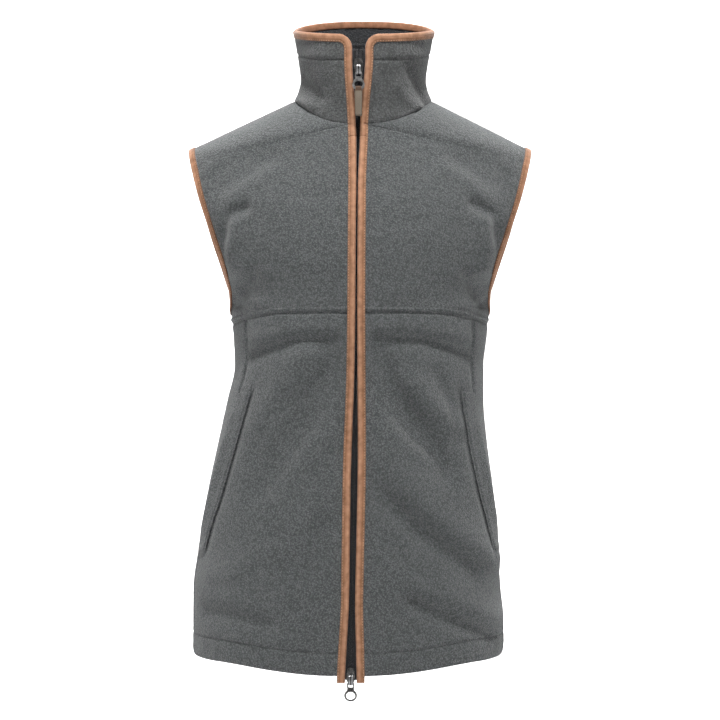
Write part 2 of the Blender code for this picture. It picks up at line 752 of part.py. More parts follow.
def make_back():
    """The back in one piece, whose top edge runs round the neck."""
    halves, t = back_halves()
    hem = hem_inside(t[:, :1] / float(t_on_yoke(1.0)), 1.0)
    neck_rows = int(np.sum(t[:, 0] > BACK_NECK_T + 1e-6))
    points, faces, index = [], [], {}

    def place(side, i, j, layer):
        if j == 0 and i < len(t) - neck_rows:
            key = (0, i, j, layer)
        else:
            key = (side, i, j, layer)
        if key not in index:
            middle, normal = halves[side][0][i, j], halves[side][1][i, j]
            if key[0] == 0:
                middle = (halves[1][0][i, j] + halves[-1][0][i, j]) / 2
                normal = unit(halves[1][1][i, j] + halves[-1][1][i, j])
            offset = CLOTH / 2 if layer == 0 else -float(hem[i, 0])
            index[key] = len(points)
            points.append(middle + normal * offset)
        return index[key]

    rows, columns = t.shape
    for _, side in SIDES:
        for i in range(rows - 1):
            for j in range(columns - 1):
                quad = [(i, j), (i, j + 1), (i + 1, j + 1), (i + 1, j)]
                if side > 0:
                    quad.reverse()
                faces.append([place(side, *corner, 0) for corner in quad])
                faces.append([place(side, *corner, 1) for corner in reversed(quad)])
        rim = [(0, j) for j in range(columns)] + [(i, columns - 1) for i in range(1, rows)]
        rim += [(rows - 1, j) for j in range(columns - 2, -1, -1)]
        rim += [(rows - 1 - k, 0) for k in range(1, neck_rows + 1)]
        for here, there in zip(rim, rim[1:]):
            strip = [place(side, *here, 0), place(side, *there, 0), place(side, *there, 1), place(side, *here, 1)]
            faces.append(strip if side > 0 else strip[::-1])
    return new_object("back_panel", points, faces, fleece())


def collar_columns():
    """Angles of the collar's columns on one side: round the corner, then as the neck seam's points."""
    corner = []
    for turn in (22.5, 45, 67.5):
        distance = COLLAR_CORNER * (1 - math.cos(math.radians(turn)))
        share = (distance / COLLAR_QUARTER) ** (1 / ROUNDNESS)
        corner.append(math.degrees(math.asin(share)))
    front = [0.0] + corner + NECK_ANGLES
    back = [180 - angle for angle in reversed(NECK_ANGLES[:-1])] + [180.0]
    return front + back


def corner_drop(distance):
    """How far the rounded top corner lies under the top edge."""
    over = np.clip(COLLAR_CORNER - distance, 0, COLLAR_CORNER)
    return COLLAR_CORNER - np.sqrt(COLLAR_CORNER ** 2 - over ** 2)


def collar_top_rise(side, degrees):
    """The rise at which the collar ends: 1, or less in the rounded corner beside the zip."""
    edge = collar_plain(side, 0.0, 1.0)
    here = collar_plain(side, degrees, np.ones_like(degrees))
    distance = np.linalg.norm(here - edge, axis=-1)
    tall = collar_height(degrees, 1.0) - collar_height(degrees, 0.0)
    return 1 - corner_drop(distance) / tall


def collar_grid(side):
    """Points and directions of half the collar."""
    degrees, rise = mesh_grid(collar_columns(), COLLAR_RISES)
    rise = rise * collar_top_rise(side, degrees)
    middle, normal = collar_sheet(side, degrees, rise)
    normal[0] = seam_normal(side, degrees[0])
    chord = ((middle[0, :5, 0] - middle[0, 0, 0]) / (middle[0, 4, 0] - middle[0, 0, 0]))[:, None]
    middle[0, :5] = middle[0, 0] + (middle[0, 4] - middle[0, 0]) * chord
    normal[0, :5] = unit(normal[0, 0] + (normal[0, 4] - normal[0, 0]) * chord)
    middle[0] = off_the_neck(middle[0], normal[0], 1)
    return middle, normal


def make_collar():
    """The stand collar as one wall from front edge to front edge."""
    right_middle, right_normal = collar_grid(-1)
    left_middle, left_normal = collar_grid(1)
    middle = np.concatenate([right_middle, left_middle[:, -2::-1]], axis=1)
    normal = np.concatenate([right_normal, left_normal[:, -2::-1]], axis=1)
    return wall("collar", middle, normal, COLLAR_CLOTH / 2, COLLAR_CLOTH / 2, fleece(), -1)


def cloud(parts):
    """Many points of some sheets with their directions, on which a strip can be seated."""
    points, normals = [], []
    for middle, normal in parts:
        points.append(middle.reshape(-1, 3))
        normals.append(normal.reshape(-1, 3))
    return np.concatenate(points), np.concatenate(normals)


def body_cloud(side):
    """The fronts, the back and the collar of one side as a cloud."""
    s, t = mesh_grid(np.linspace(0, 1, 110), np.linspace(0, 2, 330))
    degrees, rise = mesh_grid(np.linspace(0, 180, 180), np.linspace(0, 1, 50))
    return cloud([sheet("front", side, s, t), sheet("back", side, s, t), collar_sheet(side, degrees, rise)])


def seat(targets, points, normals):
    """Brings points onto the cloth: each goes to the tangent plane of its nearest cloth point."""
    seated, facing = [], []
    for target in targets:
        nearest = int(np.argmin(((points - target) ** 2).sum(axis=1)))
        normal = normals[nearest]
        seated.append(target - normal * float(np.dot(target - points[nearest], normal)))
        facing.append(normal)
    return np.array(seated), np.array(facing)


def binding_strip(name, path, normal, surface, closed, material, flip):
    """A strip folded round a cloth edge: two legs joined by a fold.

    path runs along the cut edge in the middle of the cloth. flip is 1 where the cloth lies to the right of
    the path seen from outside, and -1 where it lies to the left."""
    path = np.array(path)
    normal = np.array(normal)
    if closed:
        tangent = unit(np.roll(path, -1, axis=0) - np.roll(path, 1, axis=0))
    else:
        tangent = unit(np.gradient(path, axis=0))
    outward = unit(np.cross(normal, tangent)) * flip
    leg, leg_normal = seat(path - outward * BINDING_LEG, *surface)
    inner_leg, inner_normal = seat(path - outward * BINDING_INNER_LEG, *surface)
    rings = [
        leg + leg_normal * BINDING_HALF,
        path + normal * BINDING_HALF + outward * BINDING_ROUND,
        path + normal * BINDING_LIP + outward * BINDING_FOLD,
        path - normal * BINDING_LIP + outward * BINDING_FOLD,
        path - normal * BINDING_HALF + outward * BINDING_ROUND,
        inner_leg - inner_normal * BINDING_HALF,
        inner_leg - inner_normal * BINDING_SLOT,
        path - normal * BINDING_SLOT + outward * BINDING_ROOM,
        path + normal * BINDING_SLOT + outward * BINDING_ROOM,
        leg + leg_normal * BINDING_SLOT,
    ]
    around = len(rings)
    count = len(path)
    points = np.stack(rings, axis=1).reshape(-1, 3)
    faces = []
    for i in range(count if closed else count - 1):
        following = (i + 1) % count
        for k in range(around):
            after = (k + 1) % around
            faces.append([i * around + k, following * around + k, following * around + after, i * around + after])
    if not closed:
        for i, order in ((0, 1), (count - 1, -1)):
            ring = [i * around + k for k in range(around)]
            for quad in ((0, 1, 8, 9), (1, 2, 3, 8), (3, 7, 8), (3, 4, 7), (4, 5, 6, 7)):
                face = [ring[k] for k in quad]
                faces.append(face[::order])
    if flip < 0:
        faces = [face[::-1] for face in faces]
    return new_object(name, points, faces, material)


def zip_heights(low, high):
    """Stations along the zip from low to high, shared by the bindings, the tapes and the chain."""
    count = 28
    step = (BINDING_JOIN_Z - HEM_FRONT_Z) / count
    stations = [HEM_FRONT_Z + step * k for k in range(count + 1)] + [-45.0]
    stations += [NECK_FRONT_Z + (COLLAR_FRONT_TOP - NECK_FRONT_Z) * rise for rise in COLLAR_FRONT_RISES]
    between = [height for height in stations if low + 3.0 < height < high - 3.0]
    return np.array([low] + between + [high])


def front_edge_path(side, heights):
    """The front's cut edge beside the zip, from a list of heights below the neck."""
    below = [height for height in heights if height <= PIT_Z]
    above = [height for height in heights if height > PIT_Z]
    t_low = [float(t_at_height(height)) for height in below]
    ladder = np.linspace(1.0, FRONT_NECK_T, 300)
    t_high = [float(np.interp(height, upper_front_z(ladder), ladder)) for height in above]
    t = np.array(t_low + t_high)
    return sheet("front", side, np.zeros_like(t), t)


def make_front_binding(label, side, surface):
    """Binding of one front edge, from below the hem to the join under the neck seam."""
    path, normal = front_edge_path(side, zip_heights(HEM_FRONT_Z, BINDING_JOIN_Z - SEAM_GAP))
    tail = path[0] + np.array([0, 0, -BINDING_TAIL])
    path = np.concatenate([[tail], path])
    normal = np.concatenate([[normal[0]], normal])
    return binding_strip(f"front_binding_{label}", path, normal, surface, False, suede(), side)


def make_collar_binding(surface):
    """Binding up one collar front, round both corners and the top, and down the other front."""
    halves = {}
    for _, side in SIDES:
        path, normal = front_edge_path(side, (BINDING_JOIN_Z, -45.0))
        rises = np.array(COLLAR_FRONT_RISES)
        low, low_normal = collar_sheet(side, np.zeros_like(rises), rises)
        low_normal[0] = unit(low_normal[0] + normal[-1])
        degrees = np.array(collar_columns()[:-1])
        high, high_normal = collar_sheet(side, degrees, collar_top_rise(side, degrees))
        keep = low[:, 2] < high[0, 2] - 3.0
        halves[side] = (
            np.concatenate([path, low[keep], high]),
            np.concatenate([normal, low_normal[keep], high_normal]),
        )
    back, back_normal = collar_sheet(1, np.array([180.0]), np.array([1.0]))
    path = np.concatenate([halves[-1][0], back, halves[1][0][::-1]])
    normal = np.concatenate([halves[-1][1], back_normal, halves[1][1][::-1]])
    return binding_strip("collar_binding", path, normal, surface, False, suede(), -1)


def make_armhole_binding(label, side, surface):
    """Binding of one armhole, a closed ring over the side seam and the shoulder seam."""
    front_t = np.array(FRONT_UPPER_T)
    back_t = np.array(BACK_UPPER_T)[::-1]
    ones = np.ones_like
    front, front_normal = body_grid("front", side, ones(front_t), front_t)
    back, back_normal = body_grid("back", side, ones(back_t), back_t)
    path = np.concatenate([front, back[1:-1]])
    normal = np.concatenate([front_normal, back_normal[1:-1]])
    return binding_strip(f"armhole_binding_{label}", path, normal, surface, True, suede(), -side)


def zip_frame(height):
    """The zip's line: a point between the front edges, with its upward and outward directions."""
    def point(at):
        at = np.asarray(at, dtype=float)
        rise = np.clip((at - NECK_FRONT_Z) / (COLLAR_FRONT_TOP - NECK_FRONT_Z), 0, 1)
        y = np.where(at > NECK_FRONT_Z, collar_front_y(rise), front_y(at))
        return np.stack([zip_x(at), y, at], axis=-1)

    up = unit(point(np.asarray(height) + 6.0) - point(np.asarray(height) - 6.0))
    across = np.array([1.0, 0.0, 0.0])
    return point(height), up, unit(np.cross(across, up))


def ribbon(name, corners, material):
    """A closed strip whose four-cornered section is given at each station."""
    count = len(corners)
    points = np.array(corners).reshape(-1, 3)
    faces = [[0, 1, 2, 3], [4 * count - 1, 4 * count - 2, 4 * count - 3, 4 * count - 4]]
    for i in range(count - 1):
        for k in range(4):
            after = (k + 1) % 4
            faces.append([4 * i + k, 4 * i + 4 + k, 4 * i + 4 + after, 4 * i + after])
    return new_object(name, points, faces, material)


def make_zip_tape(label, side, surface):
    """One woven tape behind a front edge, with its inner edge against the chain."""
    heights = zip_heights(HEM_FRONT_Z + 1.0, COLLAR_FRONT_TOP - 14.0)
    centre, _, out = zip_frame(heights)
    near = centre + np.array([side * (CHAIN_HALF + REST_GAP), 0.0, 0.0])
    far, facing = seat(near + np.array([side * TAPE_WIDTH, 0.0, 0.0]), *surface)
    ring = [
        near - out * ZIP_DEPTH,
        far - facing * ZIP_DEPTH,
        far - facing * (ZIP_DEPTH + TAPE_THICK),
        near - out * (ZIP_DEPTH + TAPE_THICK),
    ]
    corners = np.stack(ring if side < 0 else ring[::-1], axis=1)
    return ribbon(f"zip_tape_{label}", corners, zip_cloth())


def make_zip_chain():
    """The closed coil between the two sliders."""
    low = BOTTOM_AXIS_Z + 7.0
    high = TOP_AXIS_Z + 10.0
    heights = zip_heights(low, high)
    centre, _, out = zip_frame(heights)
    across = np.array([CHAIN_HALF, 0.0, 0.0])
    corners = []
    for point, normal in zip(centre, out):
        front = normal * ZIP_DEPTH
        behind = normal * (ZIP_DEPTH + CHAIN_THICK)
        corners.append([point + across - front, point - across - front, point - across - behind,
                        point + across - behind])
    return ribbon("zip_chain", corners, coil_plastic())


def box_mesh(low, high):
    """A closed box between two corners, in millimetres."""
    work = bmesh.new()
    bmesh.ops.create_cube(work, size=1.0)
    size = Vector(high) - Vector(low)
    middle = (Vector(high) + Vector(low)) / 2
    bmesh.ops.scale(work, verts=work.verts, vec=size * MM)
    bmesh.ops.translate(work, verts=work.verts, vec=middle * MM)
    mesh = bpy.data.meshes.new("box")
    work.to_mesh(mesh)
    work.free()
    return mesh


def helper(name, mesh):
    """A shape that only cuts or joins another one."""
    made = bpy.data.objects.new(name, mesh)
    made.hide_render = True
    made.display_type = "WIRE"
    bpy.context.scene.collection.objects.link(made)
    return made


def plate_mesh(outline, low, high):
    """A flat plate from an outline of (x, z) points, between two depths."""
    work = bmesh.new()
    back = [work.verts.new((x * MM, high * MM, z * MM)) for x, z in outline]
    face = work.faces.new(back)
    grown = bmesh.ops.extrude_face_region(work, geom=[face])
    moved = [item for item in grown["geom"] if isinstance(item, bmesh.types.BMVert)]
    bmesh.ops.translate(work, verts=moved, vec=(0, (low - high) * MM, 0))
    bmesh.ops.recalc_face_normals(work, faces=work.faces)
    mesh = bpy.data.meshes.new("plate")
    work.to_mesh(mesh)
    work.free()
    return mesh


def combine(base, tools, operation):
    """Adds Boolean modifiers to an object."""
    for tool in tools:
        change = base.modifiers.new(operation.lower(), "BOOLEAN")
        change.operation = operation
        change.solver = "EXACT"
        change.object = tool
        tool.parent = base


def slider_outline(half_width, flip):
    """Outline of a slider's plate: narrow where the closed chain enters, widest near the other end."""
    rows = ((-1.5, 0.62), (1.5, 0.78), (6.0, 0.92), (10.0, 1.0), (14.0, 0.86), (17.0, 0.55))
    right = [(half_width * share, height * flip) for height, share in rows]
    left = [(-x, z) for x, z in reversed(right)]
    return right + left


def make_slider(name, half_width, axis_height, flip):
    """A slider: front and back plate, the post between them, and the arch that holds the pull.

    Local Y points into the vest. flip is 1 where the post is at the top and -1 where it is at the bottom."""
    front_low = -ZIP_DEPTH + REST_GAP + SLIDER_PLATE
    shift = 0.0 if flip > 0 else SLIDER_DROP
    outline = [(x, z + shift) for x, z in slider_outline(half_width, flip)]
    front = plate_mesh(outline, -front_low, ZIP_DEPTH - REST_GAP)
    chain_back = ZIP_DEPTH + CHAIN_THICK + 2 * REST_GAP
    back = helper(f"{name}_back_plate", plate_mesh(outline, chain_back, chain_back + SLIDER_PLATE))
    post_low, post_high = (10.6, 16.0) if flip > 0 else (-0.5, 5.6)
    post = helper(f"{name}_post", box_mesh((-POST_HALF, 0.0, post_low), (POST_HALF, chain_back + 0.7, post_high)))
    inner = -(AXIS_RISE + ARCH_ROOM)
    outer = inner - ARCH_THICK
    blocks = {
        "arch_foot": ((-ARCH_HALF, outer / 2 + inner / 2, ARCH_LOW), (ARCH_HALF, 2.0, ARCH_LOW + ARCH_THICK)),
        "arch_head": ((-ARCH_HALF, outer / 2 + inner / 2, ARCH_HIGH - 1.4), (ARCH_HALF, 2.0, ARCH_HIGH)),
        "arch_bar": ((-ARCH_HALF, outer, ARCH_LOW), (ARCH_HALF, inner, ARCH_HIGH)),
        "heel": ((-ARCH_HALF, -front_low, ARCH_LOW), (ARCH_HALF, 2.0, 0.5)),
    }
    arch = [helper(f"{name}_{label}", box_mesh(low, high)) for label, (low, high) in blocks.items()]
    made = bpy.data.objects.new(name, front)
    front.materials.append(dark_metal())
    bpy.context.scene.collection.objects.link(made)
    combine(made, [back, post, *arch], "UNION")
    place_on_zip(made, axis_height)
    return made


def place_on_zip(item, axis_height):
    """Sets an object on the zip's line, leaning as the zip leans there."""
    point, up, _ = zip_frame(np.array(axis_height))
    matrix = Matrix.Translation(Vector([float(value) * MM for value in point]))
    lean = math.atan2(-float(up[1]), float(up[2]))
    item.matrix_world = matrix @ Matrix.Rotation(lean, 4, "X")


def pull_outline():
    """Outline of a pull: a bar at the axis, two arms, a waist and a ring."""
    right = [(PULL_BAR_HALF, 1.0), (PULL_BAR_HALF, -4.6), (PULL_BAR_HALF - 0.3, -7.2)]
    for k in range(9):
        angle = math.radians(52 - 142 * k / 8)
        right.append((PULL_RING_HALF * math.cos(angle), PULL_RING_Z + PULL_RING_RISE * math.sin(angle)))
    left = [(-x, z) for x, z in reversed(right[:-1])]
    return right + left


def axis_point(axis_height):
    """Where a pull turns: in front of the zip's line by the axis rise."""
    point, _, out = zip_frame(np.array(axis_height))
    return point + out * AXIS_RISE


def make_pull(name, axis_height):
    """A pull tab with a window at its hinge and a ring below, hanging straight down from its axis."""
    mesh = plate_mesh(pull_outline(), -PULL_THICK / 2, PULL_THICK / 2)
    mesh.materials.append(dark_metal())
    made = bpy.data.objects.new(name, mesh)
    bpy.context.scene.collection.objects.link(made)
    window = helper(f"{name}_window", box_mesh((-2.7, -3.0, -4.6), (2.7, 3.0, -1.1)))
    hole = bpy.data.meshes.new("hole")
    work = bmesh.new()
    bmesh.ops.create_cone(work, cap_ends=True, segments=20, radius1=MM, radius2=MM, depth=6 * MM)
    bmesh.ops.rotate(work, verts=work.verts, matrix=Matrix.Rotation(math.radians(90), 3, "X"))
    bmesh.ops.scale(work, verts=work.verts, vec=(RING_HOLE_HALF, 1.0, RING_HOLE_RISE))
    bmesh.ops.translate(work, verts=work.verts, vec=(0, 0, (PULL_RING_Z - 0.3) * MM))
    work.to_mesh(hole)
    work.free()
    combine(made, [window, helper(f"{name}_hole", hole)], "DIFFERENCE")
    point = axis_point(axis_height)
    made.location = Vector([float(value) * MM for value in point])
    return made


def make_puller_strip():
    """The soft puller: a loop through the ring of the upper pull and a flat strip below it."""
    mesh = box_mesh((-STRIP_HALF, -1.4, STRIP_END), (STRIP_HALF, 0.9, STRIP_TOP))
    mesh.materials.append(puller_cloth())
    made = bpy.data.objects.new("zip_puller_strip", mesh)
    bpy.context.scene.collection.objects.link(made)
    low = STRIP_TOP - 1.5
    front = helper("puller_loop_front", box_mesh((-LOOP_HALF, -LOOP_FAR, low), (LOOP_HALF, -LOOP_NEAR, LOOP_TOP)))
    behind = helper("puller_loop_back", box_mesh((-LOOP_HALF, LOOP_NEAR, low), (LOOP_HALF, LOOP_FAR, LOOP_TOP)))
    over = helper("puller_loop_top", box_mesh((-LOOP_HALF, -LOOP_FAR, LOOP_TOP - 1.2), (LOOP_HALF, LOOP_FAR, LOOP_TOP)))
    under = helper("puller_loop_end", box_mesh((-LOOP_HALF, -LOOP_FAR, low), (LOOP_HALF, LOOP_FAR, low + 1.3)))
    combine(made, [front, behind, over, under], "UNION")
    point = axis_point(TOP_AXIS_Z)
    made.location = Vector([float(value) * MM for value in point])
    return made


def make_welt(label, side):
    """The stitched welt on the front panel along the pocket's mouth."""
    rows = 11
    heights = np.array([POCKET_END_Z + (POCKET_TOP_Z - POCKET_END_Z) * k / (rows - 1) for k in range(rows)])
    share = (heights - HEM_FRONT_Z) / (YOKE_CENTRE_Z - HEM_FRONT_Z)
    mouth = panel_seam_s(heights)
    step = 0.001
    middle = sheet_plain("front", side, mouth, lower_t(mouth, share))
    beside = sheet_plain("front", side, mouth - step, lower_t(mouth - step, share))
    per_mm = step / np.linalg.norm(middle - beside, axis=-1)
    inner = mouth - per_mm * WELT_WIDTH
    column_share, row = mesh_grid([0.0, 0.35, 0.7, 1.0], range(rows))
    row = row.astype(int)
    s = inner[row] + (mouth - per_mm * SEAM_GAP / 2 - inner)[row] * column_share
    points, normal = body_grid("front", side, s, lower_t(s, share[row]))
    low = -(CLOTH / 2 + REST_GAP)
    return wall(f"pocket_welt_{label}", points, normal, WELT_THICK - low, low, fleece(), side)


def build():
    """Makes every piece of the vest."""
    make_back()
    make_collar()
    for label, side in SIDES:
        surface = body_cloud(side)
        make_yoke(label, side)
        make_front_panel(label, side)
        make_side_panel(label, side)
        make_welt(label, side)
        make_front_binding(label, side, surface)
        make_armhole_binding(label, side, surface)
        make_zip_tape(label, side, surface)
    both = [body_cloud(1), body_cloud(-1)]
    make_collar_binding((np.concatenate([both[0][0], both[1][0]]), np.concatenate([both[0][1], both[1][1]])))
    make_zip_chain()
    make_slider("zip_slider_top", TOP_SLIDER_HALF, TOP_AXIS_Z, 1)
    make_slider("zip_slider_bottom", BOTTOM_SLIDER_HALF, BOTTOM_AXIS_Z, -1)
    make_pull("zip_pull_top", TOP_AXIS_Z)
    make_pull("zip_pull_bottom", BOTTOM_AXIS_Z)
    make_puller_strip()


build()
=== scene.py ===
# %% [markdown]
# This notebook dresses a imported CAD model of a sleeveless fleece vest. The vest is filled out as it is worn,
# with nobody inside. The real one is slate grey nubby fleece with tan suede-look binding round the collar,
# the zip edges and the armholes, a black two-way zip and slanted pockets with stitched welts. The CAD solids
# carry the collisions. Here each of them is replaced by a finer cloth shell on the same form, and the sewing,
# the zip's teeth and the metal are added.

import math

import bmesh
import bpy
import numpy as np
from mathutils import Matrix, Vector, kdtree


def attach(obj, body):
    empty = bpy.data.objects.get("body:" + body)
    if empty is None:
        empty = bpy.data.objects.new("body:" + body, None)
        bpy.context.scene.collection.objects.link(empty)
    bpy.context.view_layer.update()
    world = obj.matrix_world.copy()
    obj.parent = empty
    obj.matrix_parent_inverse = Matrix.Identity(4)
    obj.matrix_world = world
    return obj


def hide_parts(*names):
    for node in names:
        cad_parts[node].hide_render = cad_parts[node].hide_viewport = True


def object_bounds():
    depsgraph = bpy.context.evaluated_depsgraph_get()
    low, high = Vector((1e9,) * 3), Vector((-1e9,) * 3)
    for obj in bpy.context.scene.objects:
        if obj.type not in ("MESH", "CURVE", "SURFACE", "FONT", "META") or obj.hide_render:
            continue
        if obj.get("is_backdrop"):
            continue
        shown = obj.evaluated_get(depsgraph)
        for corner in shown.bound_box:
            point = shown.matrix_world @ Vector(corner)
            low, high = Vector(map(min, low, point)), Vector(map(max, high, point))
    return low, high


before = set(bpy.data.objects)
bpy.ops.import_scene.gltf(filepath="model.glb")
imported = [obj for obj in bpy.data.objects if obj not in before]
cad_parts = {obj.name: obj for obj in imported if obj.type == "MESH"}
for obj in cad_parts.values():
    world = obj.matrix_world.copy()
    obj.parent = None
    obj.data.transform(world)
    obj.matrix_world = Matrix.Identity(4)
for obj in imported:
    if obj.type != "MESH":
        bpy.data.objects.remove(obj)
cad_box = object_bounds()
MM = 0.001
SIDES = (("left", 1), ("right", -1))
print("the frame holds", len(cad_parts), "solids")

# %% [markdown]
# The photograph looks straight at the front from about chest height. Putting the camera in first lets every
# later piece be compared with the picture at once. A long lens from over two metres keeps the sides parallel.

# %% Camera
CAMERA_BACK = -2.3
CAMERA_HEIGHT = -0.319
LENS_MM = 92.75

camera_data = bpy.data.cameras.new("camera")
camera_data.lens = LENS_MM
camera_data.sensor_width = 36.0
camera = bpy.data.objects.new("camera", camera_data)
camera.location = (0.0, CAMERA_BACK, CAMERA_HEIGHT)
camera.rotation_euler = (math.radians(90), 0, 0)
bpy.context.scene.collection.objects.link(camera)
bpy.context.scene.camera = camera
print("camera is", -CAMERA_BACK, "m in front of the neck")

# %% [markdown]
# A worn vest is a tube with a narrow waist, a fuller chest and back, and shoulders that close towards the
# neck. It could be draped by a simulation, but then no edge would lie where the picture shows it. Instead
# the outline is read as short tables, a row for each height, and smooth curves are run through the rows.
# All of these sizes are in millimetres.

# %% Driving sizes and tables
CLOTH = 2.6
COLLAR_CLOTH = 3.2
TURNED_HEM = 2.4
HEM_BAND = 26.0
SEAM_GAP = 0.06
REST_GAP = 0.3
HEM_FRONT_Z = -689.0
HEM_SIDE_Z = -678.6
PIT_Z = -256.0
SHOULDER_Z = -61.0
ARMHOLE_HALF_DEPTH = 60.0
NECK_X = 4.0
NECK_HALF = 84.0
NECK_FRONT_Y = -88.0
NECK_FRONT_Z = -37.0
NECK_BACK_Y = 70.0
NECK_BACK_Z = 14.0
COLLAR_FRONT_TOP = 66.0
COLLAR_SIDE_TOP = 88.0
COLLAR_BACK_TOP = 110.0
COLLAR_CORNER = 15.0
ROUNDNESS = 0.87
YOKE_CENTRE_Z = -263.5
YOKE_SIDE_Z = -274.2
POCKET_TOP_Z = -355.0
POCKET_END_Z = -555.0
WELT_WIDTH = 26.0
WELT_THICK = 1.8
BINDING_FOLD = 1.9
BINDING_LEG = 7.8
BINDING_HALF = 3.15
BINDING_JOIN_Z = -53.5
BINDING_TAIL = 7.5

# Half outline at the side seam: height, left x, right x
SIDE_ROWS = (
    (-690, 174.5, -204.6),
    (-641, 176.0, -204.8),
    (-600, 172.5, -204.6),
    (-555, 169.3, -199.0),
    (-517, 167.8, -193.5),
    (-467, 162.0, -184.0),
    (-418, 155.5, -173.5),
    (-368, 151.5, -162.5),
    (-325, 151.5, -153.5),
    (-290, 155.5, -155.0),
    (-256, 158.5, -158.5),
)

# The centre front and the centre back: height, front y, back y, back x
CENTRE_ROWS = (
    (-690, -130, 118, -15),
    (-620, -127, 115, -14),
    (-550, -123, 108, -12),
    (-470, -119, 100, -9),
    (-400, -117, 96, -6),
    (-340, -118.5, 96, -3),
    (-290, -122, 99, -1),
    (-240, -124, 104, 0),
    (-190, -122.5, 107.5, 1),
    (-140, -116, 109, 2),
    (-100, -106, 105, 3),
    (-65, -95.5, 98, 3),
    (-37, -88, 90, 4),
    (-12, -84, 80.5, 4),
    (14, -82, 70, 4),
)

# The zip's line and half the opening between the two front bindings: height, zip x, half gap
OPENING_ROWS = (
    (-700, -11.0, 7.0),
    (-660, -10.3, 5.6),
    (-600, -9.3, 3.4),
    (-465, -7.0, 3.9),
    (-330, -4.8, 1.6),
    (-250, -4.4, 0.9),
    (-110, -3.4, 0.8),
    (-50, -2.3, 2.1),
    (-35, -2.5, 2.5),
    (-10, -2.3, 4.0),
    (20, -1.8, 6.6),
    (40, -1.5, 7.6),
    (70, -1.5, 7.6),
)

# Distance of each armhole edge from the centre: height, front x, back x
ARMHOLE_ROWS = (
    (-256, 158.5, 158.5),
    (-249, 157.2, 158.2),
    (-240, 157.2, 160.5),
    (-222, 160.5, 167.0),
    (-198, 167.0, 175.5),
    (-174, 175.5, 184.0),
    (-150, 184.0, 191.5),
    (-125, 192.5, 198.0),
    (-99, 200.0, 203.5),
    (-75, 206.5, 208.0),
    (-61, 210.0, 210.0),
)

# How the rows above the underarm fan out from the armhole to the centre line and the neck: t, angle on the
# armhole, front z, angle on the front neck, back z, angle on the back neck, turn of the row, straightness
UPPER_ROWS = (
    (1.0, 0, -256, 0, -256, 0, 90, 0.0),
    (1.1, 22, -240, 0, -239, 0, 81, 0.0),
    (1.2, 44, -217, 0, -214, 0, 73, 0.0),
    (1.3, 66, -189, 0, -182, 0, 67, 0.02),
    (1.4, 87, -157, 0, -146, 0, 63, 0.06),
    (1.5, 107, -122, 0, -107, 0, 60, 0.12),
    (1.6, 125, -81, 0, -66, 0, 58, 0.22),
    (1.7, 141, -37, 0, -24, 0, 56, 0.34),
    (1.8, 155, -37, 36, 14, 0, 54, 0.42),
    (1.9, 168, -37, 65, 14, 50, 52, 0.46),
    (2.0, 180, -37, 90, 14, 90, 50, 0.48),
)

# The collar from its neck seam (rise 0) to its top edge (rise 1): rise, centre x, side half, front y, back y
COLLAR_ROWS = (
    (0.0, 4.0, 84.0, -88.0, 70.0),
    (0.15, 4.0, 78.5, -89.5, 66.0),
    (0.3, 4.1, 76.0, -92.0, 63.5),
    (0.55, 4.3, 78.5, -96.0, 61.0),
    (0.8, 4.6, 82.5, -99.0, 60.0),
    (1.0, 4.8, 85.0, -100.5, 60.0),
)

# Front edge of the side panel, which is also the pocket's mouth: height, s
PANEL_SEAM_ROWS = (
    (-690, 0.89),
    (-600, 0.885),
    (-555, 0.87),
    (-520, 0.835),
    (-480, 0.785),
    (-420, 0.74),
    (-355, 0.695),
    (-310, 0.67),
    (-264, 0.645),
)

# Folds as soft ridges (height over 0) and troughs (height under 0) along a bent line of three points
FOLD_COLUMNS = ("x0", "z0", "x1", "z1", "x2", "z2", "height", "width")
FRONT_FOLDS = (
    # beside the right armhole
    (-166, -183, -156, -148, -138, -139, -4.5, 9),
    (-172, -112, -145, -103, -112, -82, -3.0, 17),
    (-153, -123, -130, -108, -106, -91, 2.0, 11),
    (-151, -162, -150, -185, -142, -208, 3.0, 12),
    (-127, -217, -138, -233, -149, -250, -3.5, 8),
    # beside the left armhole
    (166, -180, 157, -146, 137, -134, -4.5, 9),
    (170, -110, 147, -100, 122, -84, -3.0, 17),
    (150, -120, 130, -106, 106, -91, 2.0, 11),
    (151, -158, 149, -183, 141, -208, 3.0, 12),
    (126, -218, 138, -233, 149, -249, -3.5, 8),
    # under the yoke seam
    (-20, -297, -75, -298, -128, -312, -3.0, 12),
    (18, -297, 70, -296, 126, -310, -3.0, 12),
    # across the left front
    (12, -304, 42, -362, 100, -452, -5.0, 15),
    (62, -345, 84, -372, 110, -398, 3.5, 15),
    (18, -412, 70, -485, 158, -560, 4.0, 19),
    (15, -476, 66, -520, 134, -572, -4.0, 15),
    (66, -580, 104, -600, 158, -630, 3.0, 15),
    (60, -604, 104, -625, 150, -646, -3.5, 11),
    # across the right front
    (-21, -317, -62, -388, -118, -470, -4.0, 17),
    (-62, -306, -92, -350, -118, -395, 2.5, 15),
    (-30, -470, -80, -530, -150, -575, 2.5, 18),
    (-180, -620, -145, -624, -104, -632, -2.5, 9),
)
